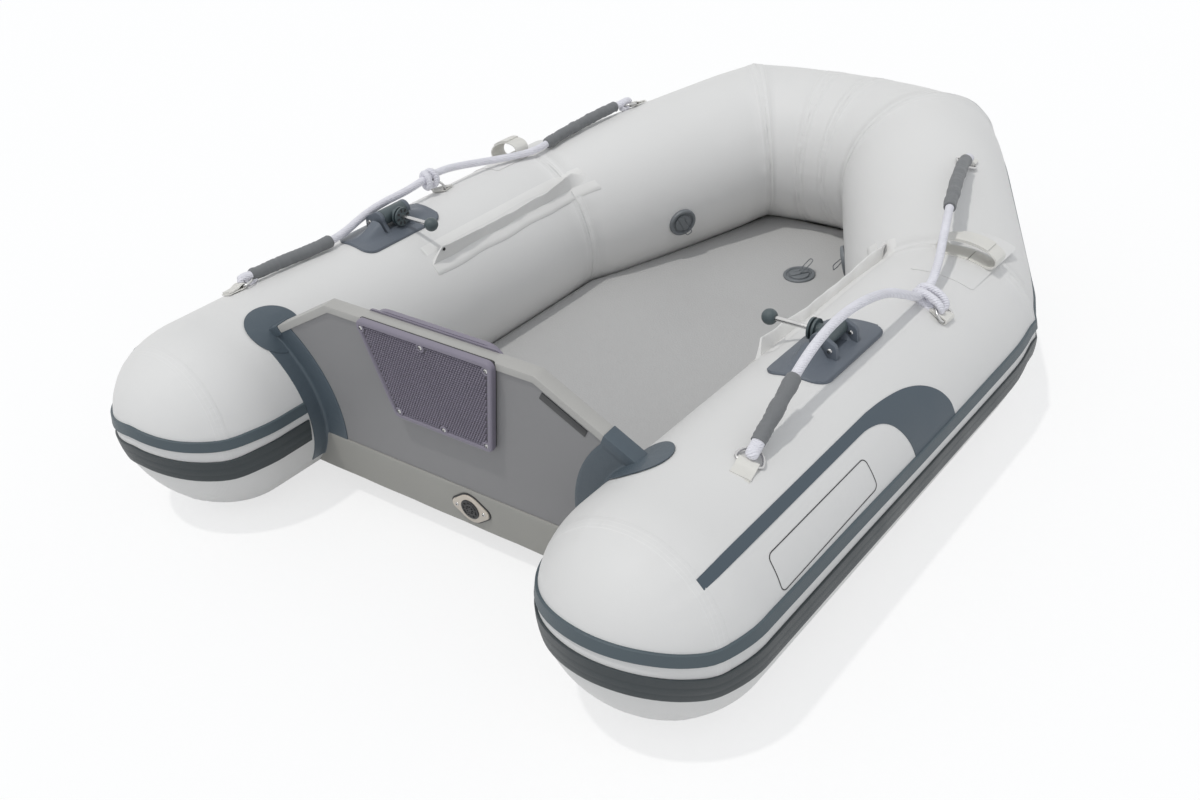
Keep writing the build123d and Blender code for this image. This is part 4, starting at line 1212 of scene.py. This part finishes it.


# The outer pad's backing plate is black: partly its own dark backing, partly a painted shade for
# the shadowed gap behind the pad.
motor_pad("outer_pad", "outer_motor_pad", BOARD @ Matrix.Translation((0, 0, BACKING_T)),
          [(-0.100, -0.180), (0.117, -0.180), (0.156, 0.006), (-0.146, 0.006)],
          (0.012, 0.009, 0.016, 0.016),
          [(-0.133, -0.009), (0.002, -0.0085), (0.140, -0.010), (-0.088, -0.165),
           (0.014, -0.169), (0.108, -0.168)], dark_plastic)
motor_pad("inner_pad", "inner_motor_pad",
          BOARD @ Matrix.Translation((0, 0, -BOARD_T - BACKING_T)) @ Matrix.Rotation(pi, 4, "Y"),
          [(-0.118, -0.143), (0.120, -0.143), (0.150, 0.007), (-0.150, 0.007)],
          (0.014, 0.014, 0.042, 0.042),
          [(-0.120, -0.018), (0.0, -0.0085), (0.120, -0.018), (-0.104, -0.129),
           (0.0, -0.132), (0.104, -0.129)], pad_violet)


# ============================================================ drain
# A beige two-screw flange over a black gasket, low on the board, with a round black
# grated plug pressed into its middle.
DRAIN = BOARD @ Matrix.Translation((0.0285, -0.339, 0.0030))
drain_beige = finish("drain_plastic", (0.58, 0.52, 0.45), 0.04, 30, 1500, 0.4, 0.0001)


def flange_outline(grow):
    """A round middle with an ear at each end, joined by straight tangents and grown
    all round."""
    circles = [(0.0, 0.029 + grow), (-0.0300, 0.0115 + grow), (0.0300, 0.0115 + grow)]
    outline = []
    for k in range(72):
        turn = 2 * pi * k / 72
        x, radius = max(circles, key=lambda c: c[0] * cos(turn) + c[1])
        outline.append((x + radius * cos(turn), radius * sin(turn)))
    return outline


for name, grow, height, edge, paint, slot, nodes in (
        ("drain_gasket", 0.0028, 0.0026, 0.0006, dark_plastic, "dark_plastic", ()),
        ("drain_body", 0.0, 0.0052, 0.0013, drain_beige, "drain_plastic", ("drain_flange",))):
    plate = soft_top(flat_outline(flange_outline(grow)), height, edge)
    add(name, moved(plate, DRAIN), paint, 35, slot, *nodes)
grate = revolved([
    (0.0200, 0.001), (0.0200, 0.0064), (0.0190, 0.0070), (0.0164, 0.0070), (0.0156, 0.0057),
    (0.0126, 0.0057), (0.0118, 0.0070), (0.0088, 0.0070), (0.0080, 0.0057), (0.0052, 0.0057),
    (0.0044, 0.0072), (0.0, 0.0074)], 40)
for turn in range(0, 180, 45):
    bar = rounded_plate(box_corners(0.0185, 0.0011), 0.0004, 0.0069, 0.0003, 2)
    merged(grate, moved(bar, Matrix.Rotation(radians(turn + 12), 4, "Z")))
add("drain_grate", moved(grate, DRAIN), dark_plastic, 35, "dark_plastic", "drain_plug")
screws("drain", [DRAIN @ Matrix.Translation((x, 0, 0.0050)) for x in (-0.0305, 0.0305)], 0.0034)


# ============================================================ seat flaps
# A strip of hull fabric stands up from a glued foot along the inner top of each side
# tube; a bench seat slides under the pair.
FLAP_T, FLAP_START, FLAP_LENGTH, FLAP_ROWS = 0.003, -0.261, 0.473, 60
FLAP_TAPER_X, FLAP_TAPER = 0.180, 0.032
ROOT = radians(45)         # where the fin leaves the tube, up from its inner side
# along the boat, then out from the centreline and up, for the free edge
FLAP_EDGE = arc_points([
    (FLAP_START, 0.3670, 0.339), (-0.190, 0.3695, 0.335), (-0.090, 0.3720, 0.331),
    (0.000, 0.3725, 0.3306), (0.090, 0.3735, 0.333), (0.155, 0.3770, 0.338),
    (FLAP_START + FLAP_LENGTH, 0.3850, 0.344)], 10)
# the fin's section: up the root's line to the edge, and across it in thicknesses
FIN_SECTION = [(0.5, -0.5), (0.93, -0.5), (1, -0.2), (1, 0.2), (0.93, 0.5), (0.55, 1.1),
               (0.22, 2.8)]
FOOT_SECTION = [(37.5, 0.0002), (37.7, 0.0010), (41.0, 0.0012), (45.5, 0.0012),
                (45.6, 0.0002), (37.5, 0.0002)]
FORWARD_X = 0.160          # ahead of here the skin is the forward tube's


def deck(x, angle, stand):
    """A point on the upper inner skin; angle 0 is inboard, 90 up."""
    if x < FORWARD_X:
        return inner_skin(x, angle, stand)

    def skin(along):
        return tube_point(1, along, pi - angle, TUBE_R + stand)

    return skin(last_inside(lambda along: skin(along).x <= x, 0.0, 0.3))


def on_line(line, x):
    """The point of a line at a place along the boat."""
    for a, b in zip(line, line[1:]):
        if a.x <= x <= b.x:
            return a + (b - a) * ((x - a.x) / (b.x - a.x))
    return line[0] if x < line[0].x else line[-1]


def flap_fin(row, column):
    """The fin's section: up its inner face, over its edge and down its outer face, which
    runs out smoothly over the tube."""
    x = FLAP_START + FLAP_LENGTH * row / FLAP_ROWS
    root = deck(x, ROOT, -0.001)
    if column in (0, 10):
        return root
    if column == 9:
        return deck(x, radians(60), 0.0003)
    if column == 8:
        return deck(x, radians(56 + 0.6 * sin(x * 30)), 0.0016)
    edge = on_line(FLAP_EDGE, x)
    wave = 0.0011 * sin(x * 46) + 0.0006 * sin(x * 117 + 1)
    edge = Vector((x, edge.y + wave, edge.z + 0.0007 * sin(x * 63)))
    if x > FLAP_TAPER_X:
        edge = edge.lerp(root, 0.5 * (x - FLAP_TAPER_X) / FLAP_TAPER)
    if row == 0:
        edge.x += 0.004
    share, across = FIN_SECTION[column - 1]
    return root.lerp(edge, share) + Vector((0, across * FLAP_T + 0.002 * sin(pi * share), 0))


def flap_foot(row, column):
    """The glued strip inboard of the fin."""
    angle, stand = FOOT_SECTION[column]
    x = -0.262 + 0.480 * row / FLAP_ROWS
    return deck(x, radians(angle + 0.5 * sin(x * 40)), stand)


flap = closed_ends(wrapped(FLAP_ROWS, 10, flap_fin))
merged(flap, closed_ends(wrapped(FLAP_ROWS, 5, flap_foot)))
reflected(flap)
# The flaps' fabric is paler than the tubes': a painted highlight that stands for the sun on the
# fins and their edges.
flap_highlit_white = finish("flap_fabric_painted_highlight", (0.78, 0.772, 0.755), 0.02, 8, 1400, 0.5, 0.0005,
                    Specular_IOR_Level=0.4)
add("seat_flaps", flap, flap_highlit_white, 70, "tube_fabric", "port_seat_flap", "starboard_seat_flap")
# Each eyelet is a solid dark disc: its darkness is a painted shade for the hole through the flap.
eyelet = revolved([(0.0034, -0.0022), (0.0034, 0.0022), (0.0, 0.0024)], 20)
moved(eyelet, Matrix.Translation((-0.252, 0.3685, 0.3325)) @ Matrix.Rotation(pi / 2, 4, "X"))
reflected(eyelet)
add("flap_eyelet_shades", eyelet, dark_plastic, 40, "dark_plastic")


# ============================================================ rowlocks
# On each side tube a moulded base with two eared lugs holds the pivot barrel; the pin
# and its round knob swing up on the barrel.
LOCK_X, BARREL_Z = -0.260, 0.385
SADDLE_FROM, SADDLE_LENGTH, SADDLE_H = 0.0405, 0.058, 0.023
LUG_R, LUG_T, LUG_AT = 0.0165, 0.0091, (-0.0405, 0.0314)
base_slate = finish("rowlock_plastic", (0.122, 0.140, 0.166), 0.05, 12, 1100, 0.36, 0.0003,
                    Specular_IOR_Level=0.3)
barrel_green = finish("barrel_plastic", (0.075, 0.098, 0.105), 0.06, 20, 1100, 0.4, 0.0004,
                      Specular_IOR_Level=0.45)
lock_base = flat_outline([(-0.1115, -0.056), (0.1105, -0.056), (0.1105, 0.052), (-0.1115, 0.052)])
round_corners(lock_base, lock_base.verts, 0.027, 9)
bmesh.ops.inset_individual(lock_base, faces=lock_base.faces[:], thickness=0.0024)
sliced(lock_base, 0, 0.004)
sliced(lock_base, 1, 0.004)
raised_side(lock_base, 1.0)
rim_verts = {v for e in lock_base.edges for v in e.verts
             if any(abs(f.normal.z) < 0.5 for f in v.link_faces)}
for vert in lock_base.verts:
    x, girth, up = vert.co
    stand = 0.0002
    if up > 0.5:
        stand = 0.0026 if vert in rim_verts else 0.0048
        if vert not in rim_verts and abs(x) > 0.036:
            # a low saddle runs out from each lug
            share = min(max((abs(x) - SADDLE_FROM) / SADDLE_LENGTH, 0), 1)
            width = 0.026 - 0.010 * share
            rise = SADDLE_H * (1 - share) ** 1.4
            stand += rise * exp(-((girth + 0.006) / (width * 0.8)) ** 4)
    vert.co = tube_point(0, LOCK_X + x - SEAM_X, pi / 2 - girth / TUBE_R, TUBE_R + stand)
lug = [(-0.034, 0.355)]
lug += [(-LUG_R * cos(radians(t)), BARREL_Z + LUG_R * sin(radians(t))) for t in range(-10, 131, 10)]
lug += [(0.025, 0.390), (0.030, 0.387), (0.033, 0.381), (0.034, 0.355)]
for x in LUG_AT:
    ear = flat_outline(lug)
    raised_side(ear, LUG_T)
    flat = [e for e in ear.edges if abs(e.verts[0].co.z - e.verts[1].co.z) < 1e-7]
    round_edges(ear, flat, 0.0014, 3)
    moved(ear, Matrix(((0, 0, 1, LOCK_X + x), (1, 0, 0, HALF), (0, 1, 0, 0), (0, 0, 0, 1))))
    merged(lock_base, ear)
reflected(lock_base)
add("rowlock_bases", lock_base, base_slate, 38, "rowlock_plastic",
    "port_rowlock_base", "starboard_rowlock_base")
screws("lug", [
    Matrix(((0, 0, -1, LOCK_X + x), (0, 1, 0, sign * (HALF + 0.0215)), (1, 0, 0, 0.3765),
            (0, 0, 0, 1))) for sign in (1, -1) for x in (-0.0405, 0.0316)], 0.0048)
for side, sign in (("port", 1), ("starboard", -1)):
    for part, paint in (("barrel", barrel_green), ("pin", bright_steel), ("knob", barrel_green)):
        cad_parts[f"{side}_rowlock_{part}"].material_slots[0].material = paint
    # the flange's radial slots are dark bars laid on its face: a painted shade for the openings
    slots = bmesh.new()
    for k in range(8):
        bar = rounded_plate([(0.0098, -0.0022), (0.0168, -0.0022), (0.0168, 0.0022),
                             (0.0098, 0.0022)], 0.001, 0.0006, 0.0002, 2)
        merged(slots, moved(bar, Matrix.Rotation(radians(45 * k + 10), 4, "Z")))
    moved(slots, Matrix(((1, 0, 0, LOCK_X), (0, 0, -sign, sign * (HALF - 0.0339)),
                         (0, sign, 0, BARREL_Z), (0, 0, 0, 1))))
    add(side + "_flange_slot_shades", slots, dark_plastic, 30, "dark_plastic",
        body=side + "_rowlock_arm")


# ============================================================ valves
# Round grey valves sunk in a rimmed bowl, one on the inner side of each forward tube
# and one in the floor, each with a lever cap and a thin pull loop.
valve_grey = finish("valve_plastic", (0.158, 0.171, 0.183), 0.05, 25, 1300, 0.42, 0.0002)


def rod(points, radius, columns=12, closed=False):
    """A round bar along points; its radius is a number, or a rule of row and turn."""
    points = [Vector(p) for p in points]
    count, frames, side = len(points), [], None
    for k in range(count):
        before = points[k - 1] if k or closed else points[k]
        after = points[(k + 1) % count] if k < count - 1 or closed else points[k]
        along = (after - before).normalized()
        side = along.orthogonal() if side is None else side - along * side.dot(along)
        side.normalize()
        frames.append((side, along.cross(side)))

    def place(row, column):
        one, two = frames[row % count]
        turn = 2 * pi * column / columns
        reach = radius(row, turn) if callable(radius) else radius
        return points[row % count] + (one * cos(turn) + two * sin(turn)) * reach

    return closed_ends(wrapped(count if closed else count - 1, columns, place))


def stance(origin, out, along):
    """A frame at a point: local z looks out and local x runs along."""
    z = out.normalized()
    x = (along - z * along.dot(z)).normalized()
    matrix = Matrix((x, z.cross(x), z)).transposed().to_4x4()
    matrix.translation = origin
    return matrix


def pull_loop(length, width, root, lift):
    """A thin hairpin loop that rises from the cap at an angle."""
    out = [(0, 0.28, 0), (0.5, 0.45, 0.5), (0.9, 0.4, 0.95), (1, 0, 1)]
    line = arc_points([(root + length * u, width * v, 0.006 + lift * w)
                       for u, v, w in out + [(u, -v, w) for u, v, w in out[-2::-1]]], 6)
    return rod(line, 0.0011, 8)


def valve(name, matrix, radius, height, loop, node):
    """A rimmed bowl with a cap in it, and on the cap a lever, a tongue and a pull loop."""
    shape = revolved([
        (radius, -0.002), (radius, height * 0.55), (radius - 0.0012, height * 0.85),
        (radius - 0.004, height), (radius - 0.007, height * 0.8), (radius - 0.0085, 0.0016),
        (radius - 0.0125, 0.0012), (radius - 0.0130, 0.0040), (radius - 0.0145, 0.0052),
        (0.0075, 0.0052), (0.0065, 0.0042), (0.0, 0.0042)], 56)
    merged(shape, rounded_plate(box_corners(0.0215, 0.006), 0.003, 0.0075, 0.0014, 4))
    merged(shape, rounded_plate([(-0.012, 0.008), (0.012, 0.008), (0.009, 0.0175),
                                 (-0.009, 0.0175)], 0.002, 0.0066, 0.001, 3))
    merged(shape, pull_loop(*loop))
    add(name, moved(shape, matrix), valve_grey, 38, "valve_plastic", node)


for side, sign, loop in (("port", 1, (0.016, 0.016, 0.016, 0.006)),
                         ("starboard", -1, (0.026, 0.014, -0.006, 0.022))):
    middle = sum(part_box(side + "_valve"), Vector()) / 2
    middle.y *= sign
    foot = AXIS[1] + RUNS[1] * (middle - AXIS[1]).dot(RUNS[1])
    out = (middle - foot).normalized()
    spot = foot + out * (TUBE_R + 0.0004)
    way = RUNS[1] * 0.5 + Vector((0, 0, -1))
    for vector in (spot, out, way):
        vector.y *= sign
    valve(side + "_air_valve", stance(spot, out, way), 0.033, 0.0065, loop, side + "_valve")
floor_out = Vector((-FLOOR_RISE, 0, 1))
floor_spot = Vector((0.416, -0.070, floor_levels(0.416)[1] + 0.0002))
valve("floor_air_valve", stance(floor_spot, floor_out, Vector((0.8, -0.6, 0))), 0.036, 0.0050,
      (0.034, 0.016, -0.002, 0.026), "floor_valve")


# ============================================================ carry handles
# A loop of cream webbing on each side tube, lying on a rectangular patch, wide and low
# enough for a gloved hand.
HANDLE_W, HANDLE_T = 0.042, 0.0028
# the loop's and its upper lap's lines over the tube: girth and height
HANDLE_LINE = [
    (0.004, 0.0024), (-0.030, 0.0024), (-0.044, 0.006), (-0.050, 0.016), (-0.045, 0.027),
    (-0.028, 0.0325), (0.0, 0.034), (0.028, 0.0325), (0.045, 0.027), (0.050, 0.016),
    (0.044, 0.006), (0.030, 0.0024), (0.006, 0.0026)]
LAP_LINE = [(-0.024, 0.0364), (0.0, 0.0372), (0.026, 0.0358)]
cream_webbing = finish("cream_webbing", (0.76, 0.745, 0.70), 0.03, 20, 900, 0.75, 0.0004,
                       lambda tree, place: bands(tree, place, "Y", 180), Sheen_Weight=0.2)


def on_crown(x, girth, stand):
    """A point over the side tube's crown; girth runs outboard."""
    return tube_point(0, x - SEAM_X, pi / 2 - girth / TUBE_R, TUBE_R + stand)


def ribbon(line, width, thick, place):
    """Webbing along a line of (girth, height) pairs, set out by place(across, point)."""
    line = [Vector(p) for p in line]
    section = [(-0.5, -0.5), (-0.5, 0.5), (-0.35, 0.62), (0.35, 0.62), (0.5, 0.5),
               (0.5, -0.5), (0.35, -0.62), (-0.35, -0.62), (-0.5, -0.5)]

    def corner(row, column):
        here = line[row]
        along = (line[min(row + 1, len(line) - 1)] - line[max(row - 1, 0)]).normalized()
        across, up = section[column]
        spot = here + Vector((-along.y, along.x)) * (up * thick)
        return place(across * width, spot)

    return closed_ends(wrapped(len(line) - 1, 8, corner))


for side, middle, x in (("port", 0.065, 0.188), ("starboard", 0.050, 0.186)):
    def over_crown(across, spot):
        return on_crown(x + across, middle + spot.x, spot.y)

    handle = ribbon(arc_points(HANDLE_LINE, 7), HANDLE_W, HANDLE_T, over_crown)
    merged(handle, ribbon(arc_points(LAP_LINE, 6), HANDLE_W - 0.002, 0.0022, over_crown))
    patch = flat_outline(box_corners(0.103, 0.058))
    round_corners(patch, patch.verts, 0.008, 5)
    sliced(patch, 1, 0.008)
    raised_side(patch, 0.0008)
    for vert in patch.verts:
        vert.co = on_crown(x + vert.co.x, middle + vert.co.y - 0.006, 0.0002 + vert.co.z)
    if side == "starboard":
        to_starboard(handle)
        to_starboard(patch)
    add(side + "_handle", handle, cream_webbing, 40, "webbing", side + "_carry_handle")
    add(side + "_handle_patch", patch, coated_fabric, 30, "tube_fabric")


# ============================================================ grab line fittings
# Each line ends in a sewn eye round a steel D-ring, and is hitched to a third one
# halfway. The rings hang in folded tabs glued to the tubes; grey sleeves cover the ends.
SLEEVE_R, SLEEVE_STEP = 0.0128, 0.003
RING_WIRE, RING_LEAN, BAR_Z = 0.0025, radians(-11), 0.0058
# where the sleeves end: line points counted from aft and from forward, and the bare end
SLEEVE_ENDS = {"port": (2, 3, 0.036), "starboard": (1, 4, 0.028)}
sleeve_grey = finish("sleeve_fabric", (0.170, 0.176, 0.182), 0.07, 25, 1400, 0.72, 0.0016,
                     lambda tree, place: noise_field(tree, place, 90, 3, 0.6),
                     Sheen_Weight=0.15)


def spline_points(name, route):
    """Points that follow a line's own spline, read from an unbevelled copy of it."""
    copy = bpy.data.objects.new(name, line_curve(name, route, 0))
    copy.data.resolution_u = 24
    mesh = bpy.data.meshes.new_from_object(copy)
    points = [v.co.copy() for v in mesh.vertices]
    bpy.data.objects.remove(copy)
    bpy.data.meshes.remove(mesh)
    return points


def stretch_of(points, start, end, step):
    """Evenly spaced points along a line between two distances from its first point."""
    found, gone, wanted = [], 0.0, start
    for a, b in zip(points, points[1:]):
        length = (b - a).length
        while wanted <= gone + length and wanted <= end:
            found.append(a + (b - a) * ((wanted - gone) / length))
            wanted += step
        gone += length
    return found


def nearest_distance(points, spot):
    """How far along a line its nearest point to a spot lies."""
    gone, best = 0.0, (9.0, 0.0)
    for a, b in zip(points, points[1:]):
        best = min(best, ((a - spot).length, gone))
        gone += (b - a).length
    return best[1]


def d_ring(width, depth, wire):
    """A D-shaped ring in local XY: its straight bar lies along y at the origin."""
    half = width / 2
    bow = [radians(t) for t in range(10, 171, 16)]
    line = [(0.0, y * half * 0.8) for y in (-1, -0.5, 0, 0.5, 1)]
    line += [(depth * 0.12, half * 0.98)]
    line += [(depth * 0.15 + depth * 0.85 * sin(t), half * cos(t)) for t in bow]
    line += [(depth * 0.12, -half * 0.98)]
    return rod([(x, y, 0) for x, y in line], wire, 12, True)


def tab(width, length, bar_height):
    """Folded webbing round the ring's bar, its two tails glued flat behind the bar."""
    line = arc_points([
        (-length, 0.0016), (-0.012, 0.0020), (-0.004, bar_height - 0.0042),
        (0.0035, bar_height - 0.003), (0.0046, bar_height + 0.001),
        (0.001, bar_height + 0.0046), (-0.006, bar_height + 0.0032), (-0.014, 0.0058),
        (-length + 0.003, 0.0046)], 5)
    return ribbon(line, width, 0.0022, lambda across, spot: Vector((spot.x, across, spot.y)))


def sleeve_over(points, start, end, phase):
    """A slack woven sleeve over a stretch of a line, drawn in at both cuffs."""
    spots = stretch_of(points, start, end, SLEEVE_STEP)

    def puffed(row, turn):
        s = row * SLEEVE_STEP
        slack = noise.noise(Vector((s * 42, sin(turn) * 0.7, phase))) * 0.0016
        crease = Vector((s * 95, 0.5 * cos(turn + s * 9), phase + 3))
        pinched = abs(noise.noise(crease)) * -0.0022
        cuff = 0.0012 if row in (0, len(spots) - 1) else 0
        return SLEEVE_R + slack + pinched - cuff

    return rod(spots, puffed, 28)


for side, sign in (("port", 1), ("starboard", -1)):
    route = [Vector(p) for p in LINE_ROUTES[side]]
    line = spline_points(side + "_read", route)
    backward = line[::-1]
    aft_run, fore_run, bare = SLEEVE_ENDS[side]
    aft_end = nearest_distance(line, (route[aft_run] + route[aft_run + 1]) / 2)
    fore_end = nearest_distance(backward, (route[-1 - fore_run] + route[-2 - fore_run]) / 2)
    sleeves = sleeve_over(line, 0.016, aft_end, 7 + sign)
    merged(sleeves, sleeve_over(backward, bare, fore_end, 14 + sign))
    cord_pieces = [add(side + "_line_sleeves", sleeves, sleeve_grey, 60, "sleeve_fabric",
                       side + "_grab_sleeves")]
    rings, tabs, eyes = bmesh.new(), bmesh.new(), bmesh.new()
    for run, end, inner in ((0, line[0], line[12]), (1, line[-1], line[-13])):
        port_end = Vector((end.x, abs(end.y), end.z))
        axis = AXIS[run] + RUNS[run] * (port_end - AXIS[run]).dot(RUNS[run])
        axis.y *= sign
        out = (end - axis).normalized()
        along = (inner - end).normalized()
        seat = stance(axis + out * (TUBE_R + 0.0005) - along * 0.012, out, along)
        ring = d_ring(0.043, 0.027, RING_WIRE)
        moved(ring, seat @ Matrix.Translation((0, 0, BAR_Z)) @ Matrix.Rotation(RING_LEAN, 4, "Y"))
        merged(rings, ring)
        holder = tab(0.033, 0.034, BAR_Z)
        merged(tabs, moved(holder, seat))
        # the sewn eye: out along the line, down round the ring's bow and back underneath
        to_seat = seat.inverted()
        turn_in, tip = to_seat @ (end + along * 0.018), to_seat @ end
        loop = [turn_in, tip + Vector((0.001, 0, 0.001)), tip + Vector((-0.006, 0, -0.001)),
                (tip.x + 0.001, 0, 0.0135), (tip.x + 0.004, 0, 0.0045),
                (tip.x + 0.013, 0, 0.0040), (turn_in.x + 0.004, 0, 0.0072)]
        eye = rod(arc_points(loop, 5), lambda row, turn: 0.0082 if row < 12 else 0.0058, 20)
        bmesh.ops.scale(eye, vec=(1, 1.25, 1), verts=eye.verts)
        merged(eyes, moved(eye, seat))
    # the middle ring: two turns of the line hold it, and its tab lies under it
    knot, bar_x, bar_angle, lift_by, turn_back = {
        "port": (route[7], -0.072, 76, -62, 0),
        "starboard": (route[7].lerp(route[8], 0.35), -0.029, 56, -9, pi)}[side]
    bar_angle = radians(bar_angle)
    out = Vector((0, sign * cos(bar_angle), sin(bar_angle)))
    spot = Vector((bar_x, sign * HALF, AXIS_Z)) + out * (TUBE_R + 0.0005)
    seat = stance(spot, out, knot - spot)
    ring_place = seat @ Matrix.Translation((0, 0, BAR_Z)) @ Matrix.Rotation(
        radians(lift_by), 4, "Y")
    ring = d_ring(0.040, 0.029, RING_WIRE)
    merged(rings, moved(ring, ring_place))
    holder = tab(0.030, 0.032, 0.0048)
    merged(tabs, moved(holder, seat @ Matrix.Rotation(turn_back, 4, "Z")))
    along = (route[8] - route[7]).normalized()
    hang = (ring_place @ Vector((0.0275, 0, 0))) - knot
    hang -= along * hang.dot(along)
    down = hang.normalized()
    across = along.cross(down)
    half = hang.length * 0.5
    for way in (-1, 1):
        oval = []
        for t in range(0, 360, 20):
            turn = radians(t)
            oval.append(knot + along * (way * (0.0085 - 0.0036 * sin(turn)))
                        + down * (half + cos(turn) * (half + 0.0105))
                        + across * (sin(turn) * 0.0125))
        merged(eyes, rod(oval, 0.0066, 16, True))
    cord_pieces += [
        add(side + "_line_rings", rings, bright_steel, 40, "steel", side + "_grab_rings"),
        add(side + "_line_tabs", tabs, cream_webbing, 40, "webbing", side + "_grab_patches"),
        add(side + "_line_eyes", eyes, white_braid_shade_tint, 60, "rope")]


# ============================================================ towing ring
# A welded steel ring for towing, under the bow. It hangs in a folded tab of cream
# webbing, which is sewn to a round patch of hull fabric glued over the front tube.
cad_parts["towing_ring"].material_slots[0].material = bright_steel
TOW_PATCH_R = 0.045
bow_axis = AXIS[-1]
tow_out = (sum(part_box("towing_ring"), Vector()) / 2 - bow_axis).normalized()
tow_down = Vector((0, 1, 0)).cross(tow_out)
tow_patch = flat_outline(disc_outline(TOW_PATCH_R))
sliced(tow_patch, 0, 0.007)
raised_side(tow_patch, 0.0022)
for vert in tow_patch.verts:
    turn, reach = vert.co.x / TUBE_R, TUBE_R + 0.0003 + vert.co.z
    round_bow = (tow_out * cos(turn) + tow_down * sin(turn)) * reach
    vert.co = bow_axis + round_bow + Vector((0, vert.co.y, 0))
bmesh.ops.recalc_face_normals(tow_patch, faces=tow_patch.faces)
add("towing_patch", tow_patch, coated_fabric, 40, "tube_fabric", "towing_ring_patch")
tow_tab = tab(0.022, 0.026, 0.0090)
moved(tow_tab, stance(bow_axis + tow_out * (TUBE_R + 0.0024), tow_out, Vector((0, 1, 0))))
add("towing_tab", tow_tab, cream_webbing, 40, "webbing")
